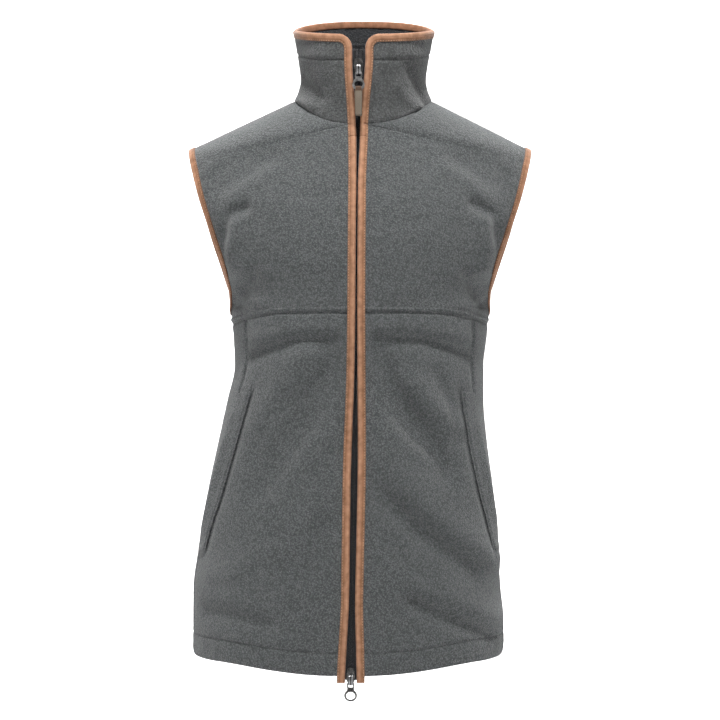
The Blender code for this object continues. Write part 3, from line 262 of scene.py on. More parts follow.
BACK_FOLDS = (
    (-152, -162, -148, -190, -130, -222, -3.5, 11),
    (153, -165, 147, -192, 128, -220, -3.5, 11),
    (-128, -222, -140, -238, -152, -252, -3.0, 9),
    (127, -220, 140, -236, 151, -251, -3.0, 9),
    (-120, -330, -70, -372, 10, -392, -4.0, 15),
    (118, -350, 60, -395, -30, -420, -4.0, 15),
    (-110, -376, -50, -420, 40, -448, 3.0, 16),
    (-125, -440, -60, -478, 20, -500, -3.5, 14),
    (126, -470, 70, -520, -10, -560, -3.5, 16),
    (-140, -560, -80, -590, 0, -604, 3.0, 17),
    (150, -590, 95, -612, 30, -622, -3.0, 13),
    (-60, -30, 0, -46, 62, -32, -2.5, 11),
)
print("the shoulders are", 2 * ARMHOLE_ROWS[-1][1], "mm apart, the hem is", -HEM_FRONT_Z, "mm below the neck")

# %% [markdown]
# Every outline is a smooth curve through its table. Bezier curves drawn in the viewport could do this too,
# but a function can be asked for the outline at any height. One helper runs a curve through a column that
# never overshoots, so that a waist stays a waist between two rows. The other does this for a whole table,
# whose first column is the key.

# %% Curves through the tables
def track(keys, values):
    """A smooth curve through rows: a value for any key."""
    keys, values = np.array(keys, dtype=float), np.array(values, dtype=float)
    step = np.diff(keys)
    rise = np.diff(values) / step
    slope = np.zeros_like(values)
    slope[0], slope[-1] = rise[0], rise[-1]
    before, after = rise[:-1], rise[1:]
    same_way = before * after > 0
    total = np.where(same_way, before + after, 1.0)
    slope[1:-1] = np.where(same_way, 2 * before * after / total, 0.0)

    def value_at(at):
        at = np.clip(at, keys[0], keys[-1])
        i = np.clip(np.searchsorted(keys, at, side="right") - 1, 0, len(step) - 1)
        u = (at - keys[i]) / step[i]
        start = values[i] * (1 + 2 * u) * (1 - u) ** 2 + slope[i] * step[i] * u * (1 - u) ** 2
        end = values[i + 1] * u * u * (3 - 2 * u) + slope[i + 1] * step[i] * u * u * (u - 1)
        return start + end

    return value_at


def curves(rows):
    """A curve for each column of a table after the first."""
    keys, *columns = zip(*rows)
    return [track(keys, values) for values in columns]


def ease(low, high, value):
    """Smooth step from 0 at low to 1 at high."""
    u = np.clip((value - low) / (high - low), 0, 1)
    return u * u * (3 - 2 * u)


side_x = dict(zip((1, -1), curves(SIDE_ROWS)))
front_y, back_y, back_x = curves(CENTRE_ROWS)
zip_x, half_gap = curves(OPENING_ROWS)
armhole_front_x, armhole_back_x = curves(ARMHOLE_ROWS)
(armhole_deg, upper_front_z, front_neck_deg, upper_back_z, back_neck_deg, wrap_deg,
 straightness) = curves(UPPER_ROWS)
collar_x, collar_half, collar_front_y, collar_back_y = curves(COLLAR_ROWS)
panel_seam_s = curves(PANEL_SEAM_ROWS)[0]
print("the zip opens to", 2 * round(float(half_gap(HEM_FRONT_Z)), 1), "mm at the hem")

# %% [markdown]
# The neck seam is one curve that the fronts, the back and the collar all share. It could be cut into
# finished meshes, but three edges that come from one curve meet exactly. The fronts end beside the zip,
# which runs a little off the middle and widens at the hem, so their edge follows its own small table.

# %% Neck and front edges
def bent(value):
    """A sine or cosine raised to the roundness of the body's section."""
    return np.clip(value, 0, 1) ** ROUNDNESS


def edge_x(side, height):
    """Where a front's cloth ends beside the zip."""
    return zip_x(height) + side * (half_gap(height) + BINDING_FOLD)


def neck_height(degrees):
    """Height of the neck seam, from the centre front (0) round to the centre back (180)."""
    turn = np.cos(np.radians(degrees))
    front = NECK_FRONT_Z * np.clip(turn, 0, 1) ** 1.7
    back = NECK_BACK_Z * np.clip(-turn, 0, 1) ** 1.7
    return front + back


def neck_point(side, degrees):
    """The neck seam, which the fronts, the back and the collar share."""
    out = bent(np.sin(np.radians(degrees)))
    turn = np.cos(np.radians(degrees))
    centre = np.where(turn > 0, edge_x(side, NECK_FRONT_Z), NECK_X)
    x = centre + (NECK_X + side * NECK_HALF - centre) * out
    y = NECK_FRONT_Y * bent(turn) + NECK_BACK_Y * bent(-turn)
    return x, y, neck_height(degrees)


print("the neck seam starts", round(float(edge_x(1, NECK_FRONT_Z)), 1), "mm left of the middle")

# %% [markdown]
# The front and the back are each one sheet from the hem to the neck. A place on a sheet is named by s, from
# the zip or the centre back out to the side, and t, from the hem (0) past the underarm (1) to the shoulder
# (2). A loft through sections could make the same form, but here every edge stays where its table says.

# %% Front and back sheets
CENTRE_CLIMB_END = 0.55
SHEETS = {
    # edge of the armhole and the way it bulges, then angle on the neck, height and depth of the centre line
    "front": (armhole_front_x, -1, front_neck_deg, upper_front_z, front_y),
    "back": (armhole_back_x, 1, back_neck_deg, upper_back_z, back_y),
}


def floats(*values):
    """Numbers or grids of numbers as arrays."""
    return [np.asarray(value, dtype=float) for value in values]


def sheet_plain(part, side, s, t):
    """A point in the middle of the front or back sheet's cloth, without folds."""
    s, t = floats(s, t)
    low = np.clip(t, 0, 1)
    side_z = HEM_SIDE_Z + (PIT_Z - HEM_SIDE_Z) * low
    centre_z = HEM_FRONT_Z + (PIT_Z - HEM_FRONT_Z) * low
    above = t > 1
    high = np.clip(t, 1, 2)
    turn = np.radians(armhole_deg(high))
    arm_z = (PIT_Z + SHOULDER_Z) / 2 - (SHOULDER_Z - PIT_Z) / 2 * np.cos(turn)
    out_z = np.where(above, arm_z, side_z)
    arm_x, way, neck_deg, centre_high, centre_y = SHEETS[part]
    neck_angle = neck_deg(high)
    out_x = np.where(above, side * arm_x(arm_z), side_x[side](side_z))
    out_y = np.where(above, way * ARMHOLE_HALF_DEPTH * np.sin(turn), 0.0)
    in_z = np.where(above, centre_high(high), centre_z)
    in_x = edge_x(side, in_z) if part == "front" else back_x(in_z)
    neck = neck_point(side, neck_angle if part == "front" else 180 - neck_angle)
    inner = (in_x, centre_y(in_z), in_z)
    in_x, in_y, in_z = (np.where(neck_angle > 0, on_neck, plain) for on_neck, plain in zip(neck, inner))
    wrap = np.radians(wrap_deg(high))
    across = bent(np.sin(s * wrap)) / bent(np.sin(wrap))
    around = (1 - bent(np.cos(s * wrap))) / (1 - bent(np.cos(wrap)))
    straight = straightness(high)
    around = around * (1 - straight) + across * straight
    climb = np.where(above, across, ease(0, CENTRE_CLIMB_END, s))
    x = in_x + (out_x - in_x) * across
    y = in_y + (out_y - in_y) * around
    z = in_z + (out_z - in_z) * climb
    return np.stack([x, y, z], axis=-1)


hem_corner = sheet_plain("front", 1, 1.0, 0.0)
print("the left side seam starts", round(float(hem_corner[0])), "mm out at the hem")

# %% [markdown]
# Cloth has to be thickened outwards, so every place on a sheet needs its outward direction. The normals of a
# finished mesh could serve, but they lean at its edges, where the pieces have to match. So the direction is
# the cross product of the two ways along the sheet, each found from a small step.

# %% Directions of the sheets
SMALL_STEP = 0.004
UP = np.array([0.0, 0.0, 1.0])


def unit(vectors):
    """Vectors brought to length 1."""
    length = np.linalg.norm(vectors, axis=-1, keepdims=True)
    return vectors / np.maximum(length, 1e-9)


def sheet_normal(part, side, s, t):
    """Outward direction of a sheet. Near the underarm the rows bunch up, so plain Z stands in for t there."""
    s, t = floats(s, t)
    s0, s1 = np.clip(s - SMALL_STEP, 0, 1), np.clip(s + SMALL_STEP, 0, 1)
    t0, t1 = np.clip(t - SMALL_STEP, 0, 2), np.clip(t + SMALL_STEP, 0, 2)
    along = unit(sheet_plain(part, side, s1, t) - sheet_plain(part, side, s0, t))
    up = unit(sheet_plain(part, side, s, t1) - sheet_plain(part, side, s, t0))
    trust = ease(1.05, 1.3, t)[..., None]
    up = unit(up * trust + UP * (1 - trust))
    return unit(np.cross(along, up)) * (side if part == "front" else -side)


print("out at the left side seam is", sheet_normal("front", 1, 1.0, 0.5).round(2))

# %% [markdown]
# Broad soft folds belong to the form itself. Sculpting would give livelier ones, but here each is a ridge or
# a trough along a short bent line that was read off the picture, with its own height and width. They fade
# out before an edge, so that the seams stay smooth.

# %% Broad folds
BROAD_FOLDS = {"front": FRONT_FOLDS, "back": BACK_FOLDS}


def fold_height(folds, x, z):
    """Sum of the folds at a place seen from the front."""
    total = np.zeros_like(x)
    for row in folds:
        fold = dict(zip(FOLD_COLUMNS, row))
        nearest = np.full_like(x, 1e9)
        for start, end in (("0", "1"), ("1", "2")):
            ax, az = fold["x" + start], fold["z" + start]
            bx, bz = fold["x" + end], fold["z" + end]
            length = (bx - ax) ** 2 + (bz - az) ** 2
            u = np.clip(((x - ax) * (bx - ax) + (z - az) * (bz - az)) / length, 0, 1)
            gap = (x - ax - u * (bx - ax)) ** 2 + (z - az - u * (bz - az)) ** 2
            nearest = np.minimum(nearest, gap)
        total = total + fold["height"] * np.exp(-nearest / fold["width"] ** 2)
    return total


def sheet(part, side, s, t):
    """A point in the middle of a sheet's cloth, and the outward direction there."""
    plain = sheet_plain(part, side, s, t)
    normal = sheet_normal(part, side, s, t)
    lift = fold_height(BROAD_FOLDS[part], plain[..., 0], plain[..., 2])
    s, t = floats(s, t)
    if part == "front":
        lift = lift * ease(0.03, 0.14, s)
    lift = lift * (1 - ease(0.82, 0.94, s)) * (1 - ease(1.75, 1.9, t))
    return plain + normal * lift[..., None], normal


print("broad folds:", {part: len(rows) for part, rows in BROAD_FOLDS.items()})

# %% [markdown]
# The stand collar rises from the neck seam, leans in a little and stands higher at the back. A flat strip
# with a Curve modifier would stand straight up. Here a place on the collar is an angle round the neck and a
# rise from the seam to the top, and its own table gives the lean.

# %% Collar sheet
def collar_height(degrees, rise):
    """Height of the collar at an angle round the neck."""
    turn = np.cos(np.radians(degrees))
    top_front = COLLAR_SIDE_TOP + (COLLAR_FRONT_TOP - COLLAR_SIDE_TOP) * turn
    top_back = COLLAR_SIDE_TOP - (COLLAR_BACK_TOP - COLLAR_SIDE_TOP) * turn
    top = np.where(turn > 0, top_front, top_back)
    base = neck_height(degrees)
    return base + (top - base) * rise


def collar_plain(side, degrees, rise):
    """A point in the middle of the collar's cloth."""
    degrees, rise = floats(degrees, rise)
    out = bent(np.sin(np.radians(degrees)))
    turn = np.cos(np.radians(degrees))
    z = collar_height(degrees, rise)
    front_edge = edge_x(side, collar_height(0.0, rise))
    centre = np.where(turn > 0, front_edge, collar_x(rise))
    x = centre + (collar_x(rise) + side * collar_half(rise) - centre) * out
    y = collar_front_y(rise) * bent(turn) + collar_back_y(rise) * bent(-turn)
    return np.stack([x, y, z], axis=-1)


def collar_sheet(side, degrees, rise):
    """A point of the collar and the outward direction there."""
    degrees, rise = floats(degrees, rise)
    d0, d1 = np.clip(degrees - 0.5, 0, 180), np.clip(degrees + 0.5, 0, 180)
    r0, r1 = np.clip(rise - 0.01, 0, 1), np.clip(rise + 0.01, 0, 1)
    along = collar_plain(side, d1, rise) - collar_plain(side, d0, rise)
    up = collar_plain(side, degrees, r1) - collar_plain(side, degrees, r0)
    return collar_plain(side, degrees, rise), unit(np.cross(along, up)) * side


print("the collar is", round(float(collar_height(180.0, 1.0) - collar_height(180.0, 0.0))), "mm tall behind")

# %% [markdown]
# Where pieces meet they have to share one edge. Their points could be merged, but then the vest would be one
# piece without seams. So the neck and the shoulder get a common direction from both pieces, and the cut
# edges of two shells stand face to face with only the seam's groove between them.

# %% Shared edges
FRONT_NECK_T = 1.7
BACK_NECK_T = 1.8
SHOULDER_BLEND = 12.0
front_ladder = np.linspace(FRONT_NECK_T, 2.0, 400)
back_ladder = np.linspace(BACK_NECK_T, 2.0, 400)


def t_at_height(height):
    """The t of a height at the centre line, below the underarm."""
    return (height - HEM_FRONT_Z) / (PIT_Z - HEM_FRONT_Z)


def yoke_height(s):
    """The yoke seam's height along a row."""
    return YOKE_CENTRE_Z + (YOKE_SIDE_Z - YOKE_CENTRE_Z) * ease(0.3, 0.9, s)


def t_on_yoke(s):
    """The t at which a column meets the yoke seam."""
    climb = ease(0, CENTRE_CLIMB_END, np.asarray(s, dtype=float))
    low = HEM_FRONT_Z + (HEM_SIDE_Z - HEM_FRONT_Z) * climb
    return (yoke_height(s) - low) / (PIT_Z - low)


def seam_normal(side, degrees):
    """The shared direction of the cloth's cut edge at the neck seam, halfway between body and collar."""
    degrees = np.asarray(degrees, dtype=float)
    zero = np.zeros_like(degrees)
    front_t = np.interp(degrees, front_neck_deg(front_ladder), front_ladder)
    back_t = np.interp(180 - degrees, back_neck_deg(back_ladder), back_ladder)
    front, back = sheet_normal("front", side, zero, front_t), sheet_normal("back", side, zero, back_t)
    body = np.where((degrees <= 90)[..., None], front, back)
    at_shoulder = np.exp(-((degrees - 90) / SHOULDER_BLEND) ** 2)[..., None]
    shoulder = sheet_normal("front", side, zero, zero + 2.0) + sheet_normal("back", side, zero, zero + 2.0)
    body = unit(body * (1 - at_shoulder) + unit(shoulder) * at_shoulder)
    return unit(body + collar_sheet(side, degrees, zero)[1])


def body_grid(part, side, s, t):
    """Points and directions of a piece of the body, with directions shared along the shoulder and neck."""
    middle, normal = sheet(part, side, s, t)
    other = "back" if part == "front" else "front"
    both = unit(sheet_normal(part, side, s, t) + sheet_normal(other, side, s, t))
    normal = np.where((t >= 2.0 - 1e-6)[..., None], both, normal)
    degrees = front_neck_deg(t) if part == "front" else 180 - back_neck_deg(t)
    first = FRONT_NECK_T if part == "front" else BACK_NECK_T
    on_neck = (s <= 1e-9) & (t >= first - 1e-9)
    normal = np.where(on_neck[..., None], seam_normal(side, degrees), normal)
    return middle, normal


def off_the_neck(edge, normal, way):
    """Moves a run of neck seam points away from the seam: down the body (-1) or up the collar (1)."""
    along = unit(np.gradient(edge, axis=0))
    away = unit(np.cross(along, normal))
    away *= np.where(away[:, 2:] > 0, way, -way)
    return edge + away * SEAM_GAP * 0.65


print("the yoke seam meets the zip at t", round(float(t_on_yoke(0.0)), 3))

# %% [markdown]
# A cloth piece is a thin closed shell: an outer skin, an inner skin and the cut edges between them. It could
# be one sheet with a Solidify modifier, but a hem is turned up and thicker inside, and a seam sinks only
# outside. So each skin gets its own distance from the middle of the cloth. Rows and columns crowd together
# where something fine shows, such as a seam or a line of stitches.

# %% Grids of cloth
def stations(length, coarse, fine_at=(), fine=1.1, reach=4.5):
    """Positions from 0 to length in millimetres: coarse steps, with fine ones around some places."""
    places = [0.0]
    while places[-1] < length:
        here = places[-1]
        near = min([abs(here - place) for place in fine_at] + [1e9])
        blend = min(1.0, max(0.0, (near - reach) / (3 * reach)))
        places.append(here + fine + (coarse - fine) * blend)
    places = np.array(places[:-1] + [length])
    if length - places[-2] < 0.4 * fine:
        places = np.delete(places, -2)
    return places


def spread(grid):
    """How far each point of a grid is from the grid's first column, along its row."""
    steps = np.linalg.norm(np.diff(grid, axis=1), axis=-1)
    return np.concatenate([np.zeros((len(grid), 1)), np.cumsum(steps, axis=1)], axis=1)


def climb_of(grid):
    """How far each point of a grid is from the grid's first row, along its column."""
    return spread(grid.transpose(1, 0, 2)).T


def cut_of(grid):
    """The flat cut of a cloth grid, in metres: its width, its length and its area."""
    wide = float(spread(grid)[:, -1].max()) * MM
    tall = float(climb_of(grid)[-1].max()) * MM
    across = grid[1:, 1:] - grid[:-1, :-1]
    down = grid[1:, :-1] - grid[:-1, 1:]
    area = float(np.linalg.norm(np.cross(across, down), axis=-1).sum()) / 2 * MM * MM
    return wide, tall, area


def placed(name, data):
    """An object that shows some data in the scene."""
    made = bpy.data.objects.new(name, data)
    bpy.context.scene.collection.objects.link(made)
    return made


def mesh_object(name, points, faces, uv=None):
    """An object from points in millimetres, with a UV map in metres where the points have one."""
    mesh = bpy.data.meshes.new(name)
    mesh.from_pydata((np.asarray(points) * MM).tolist(), [], faces)
    if uv is not None:
        layer = mesh.uv_layers.new(name="cloth")
        corners = np.empty(len(mesh.loops), dtype=np.int32)
        mesh.loops.foreach_get("vertex_index", corners)
        layer.data.foreach_set("uv", (np.asarray(uv)[corners] * MM).ravel())
    mesh.shade_smooth()
    mesh.update()
    return placed(name, mesh)


def shell(name, middle, normal, outer, inner, way, open_rows=0):
    """A closed cloth shell on a grid. The first column of the lowest open_rows rows gets no cut edge."""
    rows, columns = middle.shape[:2]
    outside = (middle + normal * outer[..., None]).reshape(-1, 3)
    inside = (middle - normal * inner[..., None]).reshape(-1, 3)
    count = rows * columns
    index = np.arange(count).reshape(rows, columns)
    corners = [index[:-1, :-1], index[:-1, 1:], index[1:, 1:], index[1:, :-1]]
    quads = np.stack(corners, axis=-1).reshape(-1, 4)
    rim = [(0, j) for j in range(columns - 1)]
    rim += [(i, columns - 1) for i in range(rows - 1)]
    rim += [(rows - 1, j) for j in range(columns - 1, 0, -1)]
    rim += [(i, 0) for i in range(rows - 1, 0, -1)]
    faces = quads.tolist() + (quads[:, ::-1] + count).tolist()
    for here, there in zip(rim, rim[1:] + rim[:1]):
        if here[1] == 0 and there[1] == 0 and max(here[0], there[0]) < open_rows:
            continue
        a, b = int(index[here]), int(index[there])
        faces.append([b, a, a + count, b + count])
    if way < 0:
        faces = [face[::-1] for face in faces]
    uv = np.stack([spread(middle), climb_of(middle)], axis=-1).reshape(-1, 2)
    return mesh_object(name, np.concatenate([outside, inside]), faces, np.concatenate([uv, uv]))


print("a hem of", HEM_BAND, "mm gets", len(stations(HEM_BAND, 2.9, (0.0, HEM_BAND))), "rows")

# %% [markdown]
# Sewing leaves marks in soft cloth. At a seam the cloth sinks between the pieces, along a line of stitches
# it sinks a little less, and beside both it puckers in short uneven ripples. A bump map could fake these, but
# they are more than a millimetre deep and show against the light, so they are moved into the shells.

# %% Marks of sewing
def dip(distance, depth, width):
    """How far cloth sinks at some distance from a seam or a line of stitches."""
    return -depth * np.exp(-(distance / width) ** 2)


def pucker(distance, along, reach, height, wave, start):
    """Uneven short ripples along a seam that die out with the distance from it."""
    turn = 2 * np.pi * (along + start) / wave
    uneven = np.sin(turn + 1.7 * np.sin(turn * 0.31 + start)) + 0.6 * np.sin(turn * 0.57 + 2.1 * start)
    strong = 0.6 + 0.4 * np.sin(turn * 0.13 + 0.7 * start)
    return height * uneven * strong * np.exp(-(distance / reach) ** 2)


print("a dip keeps", round(-float(dip(1.0, 1.0, 1.0)), 2), "of its depth at its width")

# %% [markdown]
# The big folds are already in the solids. A worn vest also has many shallow creases between them: fans at
# the armholes, drags from the zip, and soft waves over the hips. Noise would spread them evenly, which looks
# wrong on cloth. They are placed one row each, uneven, and the back gets its own set.

# %% Small creases
FRONT_CREASES = (
    # fanning from the right armhole
    (-158, -168, -143, -160, -120, -158, -1.0, 9),
    (-168, -135, -150, -124, -128, -116, -0.9, 10),
    (-149, -150, -152, -180, -153, -214, 1.9, 8),
    (-176, -96, -160, -86, -140, -76, -1.2, 8),
    (-148, -205, -132, -212, -112, -215, 1.3, 7),
    (-152, -236, -138, -246, -116, -252, 1.5, 6),
    # fanning from the left armhole
    (159, -170, 145, -160, 122, -160, -1.0, 9),
    (170, -134, 152, -122, 131, -118, -0.9, 10),
    (150, -152, 153, -182, 151, -216, 1.8, 8),
    (178, -97, 162, -85, 140, -78, -1.2, 8),
    (150, -206, 134, -214, 115, -216, 1.4, 7),
    (154, -238, 139, -248, 118, -254, 1.5, 6),
    # across the chest, towards the zip
    (-14, -120, -42, -128, -74, -124, -0.9, 8),
    (-14, -196, -40, -206, -72, -204, 0.9, 9),
    (12, -150, 40, -160, 76, -158, -0.9, 8),
    (12, -232, 38, -238, 70, -234, 0.9, 8),
    # the line under the yoke, with fuller cloth above it
    (-18, -282, -74, -283, -126, -296, 1.2, 8),
    (-18, -296, -76, -297, -126, -311, -1.2, 4),
    (18, -282, 70, -283, 126, -295, 1.2, 8),
    (18, -297, 72, -296, 128, -309, -1.2, 4),
    # along the deepest folds from the zip
    (-24, -322, -66, -392, -116, -466, -1.7, 12),
    (16, -312, 46, -368, 98, -446, -1.2, 8),
    (18, -470, 70, -516, 130, -566, -0.8, 9),
    # over the waist
    (-16, -342, -44, -362, -82, -372, -1.4, 9),
    (-18, -396, -48, -416, -70, -440, 1.5, 10),
    (-88, -360, -112, -396, -126, -440, -1.6, 9),
    (14, -346, 34, -380, 62, -412, -1.5, 8),
    (34, -392, 60, -422, 96, -448, 1.5, 9),
    (90, -336, 106, -372, 118, -412, -1.6, 9),
    # over the hips
    (-20, -506, -58, -524, -104, -530, -1.2, 10),
    (-26, -566, -62, -590, -98, -596, 1.3, 11),
    (-120, -560, -146, -584, -172, -590, -1.4, 9),
    (18, -520, 46, -552, 90, -590, -1.5, 9),
    (92, -540, 118, -566, 148, -582, 1.3, 9),
    (16, -598, 40, -620, 62, -640, -1.2, 9),
    (-150, -648, -110, -652, -60, -650, 0.9, 7),
    (60, -655, 104, -651, 150, -645, 0.9, 7),
)
BACK_CREASES = (
    (-150, -140, -128, -128, -100, -126, -1.4, 8),
    (152, -142, 130, -130, 102, -128, -1.3, 8),
    (-144, -206, -124, -220, -96, -224, 1.4, 8),
    (146, -208, 126, -222, 98, -228, 1.4, 8),
    (-60, -352, -10, -372, 44, -376, -1.5, 10),
    (-96, -404, -40, -430, 20, -436, 1.4, 10),
    (100, -400, 62, -424, 20, -440, -1.4, 9),
    (84, -448, 30, -470, -30, -474, 1.4, 10),
    (-130, -520, -84, -544, -40, -548, -1.4, 9),
    (134, -540, 92, -560, 40, -566, 1.2, 9),
    (-50, -600, 0, -612, 56, -606, 1.1, 10),
    (-40, -70, 0, -78, 40, -70, -0.9, 9),
)
COLLAR_FRONT_FOLDS = (
    (-68, 24, -60, 10, -47, -6, -2.6, 6),
    (-80, 2, -70, -6, -56, -14, 1.8, 7),
    (-40, 10, -34, -8, -26, -24, -1.0, 6),
    (58, 28, 68, 12, 79, -6, -2.6, 6),
    (44, 8, 54, -6, 66, -14, 1.8, 7),
    (30, 18, 26, -2, 20, -20, -1.0, 6),
    (-74, 40, -60, 46, -40, 44, 0.8, 6),
    (76, 44, 60, 48, 40, 45, 0.8, 6),
)
COLLAR_BACK_FOLDS = (
    (-60, 70, -52, 48, -56, 26, -1.8, 7),
    (62, 74, 50, 50, 56, 28, -1.8, 7),
    (-30, 46, 0, 38, 32, 44, -1.4, 8),
    (-36, 80, 2, 74, 38, 82, 1.1, 8),
)
print(len(FRONT_CREASES) + len(BACK_CREASES), "small creases on the body")

# %% [markdown]
# One function now says how much the cloth is raised at each place of the body, so that a crease runs on from
# piece to piece over a seam. The creases fade beside the bindings, because the folded tape holds the edge
# flat. Two more say what a seam and a stitched line add.

# %% Cloth of the body
SMALL_CREASES = {"front": FRONT_CREASES, "back": BACK_CREASES}
BROAD_SHARE = 0.45
CREASE_SHARE = 1.5
CHEST_FULL = 1.5
NECK_SEAM_SHARE = 0.45


def body_lift(part, s, t, middle, to_zip, to_armhole):
    """Small creases of the body, faded out beside the bindings."""
    x, height = middle[..., 0], middle[..., 2]
    lift = fold_height(SMALL_CREASES[part], x, height)
    lift += BROAD_SHARE * fold_height(BROAD_FOLDS[part], x, height)
    if part == "front":
        lift += CHEST_FULL * (np.exp(-((height + 165) / 48) ** 2) - np.exp(-((height + 246) / 27) ** 2))
    held = ease(9.0, 20.0, to_zip) * ease(9.0, 18.0, to_armhole)
    return CREASE_SHARE * lift * held * (1 - ease(0.9, 0.98, s) * (t < 1.0)) * (1 - ease(1.8, 1.93, t))


def edge_marks(distance, along, seed):
    """The dip and the puckers at a plain seam."""
    return dip(distance, 1.5, 2.4) + pucker(distance - 3.0, along, 6.0, 0.3, 11.0, seed)


def stitch_marks(distance, along, seed):
    """The dip and the puckers along a line of topstitches."""
    return dip(distance, 1.05, 1.5) + pucker(distance, along, 5.0, 0.3, 8.5, seed)


print("the body's cloth is", CLOTH, "mm thick")

# %% [markdown]
# The fleece is a knitted cloth whose loops are brushed up into small soft nubs. Seen close, it is a field of
# clumps of about two millimetres, darker between them, with a fine fuzz on top. The nubs could be hair, but
# that would not survive an export, and from a step away only their shading shows. So they are made in a
# shader group: two sizes of Voronoi cells bent by noise give a height and a colour.

# %% Shader group for nubby pile
def group(name, inputs, outputs):
    """An empty shader node group with named inputs and outputs."""
    tree = bpy.data.node_groups.new(name, "ShaderNodeTree")
    for label, value in inputs.items():
        kind = "NodeSocketColor" if isinstance(value, tuple) else "NodeSocketFloat"
        made = tree.interface.new_socket(label, in_out="INPUT", socket_type=kind)
        made.default_value = value
    for label, kind in outputs.items():
        tree.interface.new_socket(label, in_out="OUTPUT", socket_type=f"NodeSocket{kind}")
    return tree, tree.nodes.new("NodeGroupInput"), tree.nodes.new("NodeGroupOutput")


def node(tree, kind, settings=(), **values):
    """A node with some of its properties and input values set. An input can be a value or another socket."""
    made = tree.nodes.new(kind)
    for label, value in dict(settings).items():
        setattr(made, label, value)
    for label, value in values.items():
        place = int(label[1:]) if label[0] == "_" else label.replace("_", " ")
        if isinstance(value, bpy.types.NodeSocket):
            tree.links.new(value, made.inputs[place])
        else:
            made.inputs[place].default_value = value
    return made


def ramp(tree, value, rows):
    """A colour ramp with a row for each stop: its place, then red, green and blue."""
    made = tree.nodes.new("ShaderNodeValToRGB")
    stops = made.color_ramp.elements
    while len(stops) < len(rows):
        stops.new(1.0)
    for stop, (place, *colour) in zip(stops, rows):
        stop.position = place
        stop.color = (*colour, 1)
    tree.links.new(value, made.inputs[0])
    return made.outputs[0]


def arithmetic(tree):
    """Short words for sums in a tree: plus, less, times and over."""
    def step(operation):
        def one(first, second=0.0):
            return node(tree, "ShaderNodeMath", {"operation": operation}, _0=first, _1=second).outputs[0]

        return one

    return [step(operation) for operation in ("ADD", "SUBTRACT", "MULTIPLY", "DIVIDE")]


def math_node(tree, operation, first, second=0.0):
    """One step of any other arithmetic."""
    return node(tree, "ShaderNodeMath", {"operation": operation}, _0=first, _1=second).outputs[0]


def cells(tree, place, scale, smoothness):
    """Soft cells, as the distance from the nearest centre."""
    made = node(tree, "ShaderNodeTexVoronoi", {"feature": "SMOOTH_F1"}, Vector=place, Scale=scale)
    made.inputs["Smoothness"].default_value = smoothness
    return made.outputs["Distance"]


def stretched(tree, value, low, high, to_low=0.0, to_high=1.0):
    """A value brought from one range to another."""
    limits = {"From_Min": low, "From_Max": high, "To_Min": to_low, "To_Max": to_high}
    return node(tree, "ShaderNodeMapRange", Value=value, **limits).outputs["Result"]


def noise(tree, place, scale, detail, **others):
    """A soft noise from 0 to 1."""
    return node(tree, "ShaderNodeTexNoise", Vector=place, Scale=scale, Detail=detail, **others).outputs["Fac"]


def pile_group():
    """Nubs of brushed fleece: a height for the bump, and a colour that is palest on top of a nub."""
    inputs = {"Nub size": 0.0024, "Mottle": 0.5, "Pale": (0.2, 0.2, 0.2, 1), "Dark": (0.05, 0.05, 0.05, 1)}
    tree, start, end = group("nubby pile", inputs, {"Colour": "Color", "Height": "Float"})
    plus, less, times, over = arithmetic(tree)
    place = node(tree, "ShaderNodeTexCoord").outputs["Object"]
    wander = node(tree, "ShaderNodeTexNoise", Vector=place, Scale=170.0, Detail=2.0).outputs["Color"]
    mix = node(tree, "ShaderNodeMix", {"data_type": "VECTOR"}, _0=0.004, _4=place, _5=wander)
    bent_place = mix.outputs[1]
    scale = over(1.0, start.outputs["Nub size"])
    big_nub = less(1.0, cells(tree, bent_place, scale, 0.6))
    small_nub = less(1.0, cells(tree, bent_place, times(scale, 2.3), 0.5))
    fuzz = noise(tree, place, 1900.0, 2.0)
    both = plus(times(big_nub, 0.62), times(small_nub, 0.38))
    nub = stretched(tree, both, 0.42, 0.86)
    patch = noise(tree, place, 190.0, 3.0, Roughness=0.6)
    shade = times(stretched(tree, patch, 0.3, 0.7, -0.5, 0.5), start.outputs["Mottle"])
    fleck = times(less(fuzz, 0.5), 0.5)
    tone = node(tree, "ShaderNodeClamp", Value=plus(plus(times(nub, 0.7), shade), fleck)).outputs[0]
    dark, pale = start.outputs["Dark"], start.outputs["Pale"]
    colour = node(tree, "ShaderNodeMix", {"data_type": "RGBA"}, _0=tone, _6=dark, _7=pale).outputs[2]
    for label, source in (("Colour", colour), ("Height", plus(both, times(fuzz, 0.22)))):
        tree.links.new(source, end.inputs[label])
    return tree


PILE = pile_group()
print("pile group has", len(PILE.nodes), "nodes")

# %% [markdown]
# The zip's tape and the soft puller are woven. A weave is two sets of threads that take turns on top. An
# image could show it, but two sine waves are sharp at any distance. One more group makes it from the piece's
# own UV map, so that it follows the tape.

# %% Shader group for a weave
def weave_group():
    """A plain weave on the UV map: a height and a mask that is 1 on top of a thread."""
    tree, start, end = group("plain weave", {"Thread": 0.0006}, {"Height": "Float", "Top": "Float"})
    _, _, times, over = arithmetic(tree)
    parts = node(tree, "ShaderNodeSeparateXYZ", Vector=node(tree, "ShaderNodeUVMap").outputs["UV"])
    turns = over(math.pi, start.outputs["Thread"])
    across, along = (math_node(tree, "SINE", times(parts.outputs[axis], turns)) for axis in "XY")
    height = stretched(tree, times(across, along), -1.0, 1.0)
    tree.links.new(height, end.inputs["Height"])
    tree.links.new(math_node(tree, "POWER", height, 0.7), end.inputs["Top"])
    return tree


WEAVE = weave_group()
print("weave group has", len(WEAVE.nodes), "nodes")
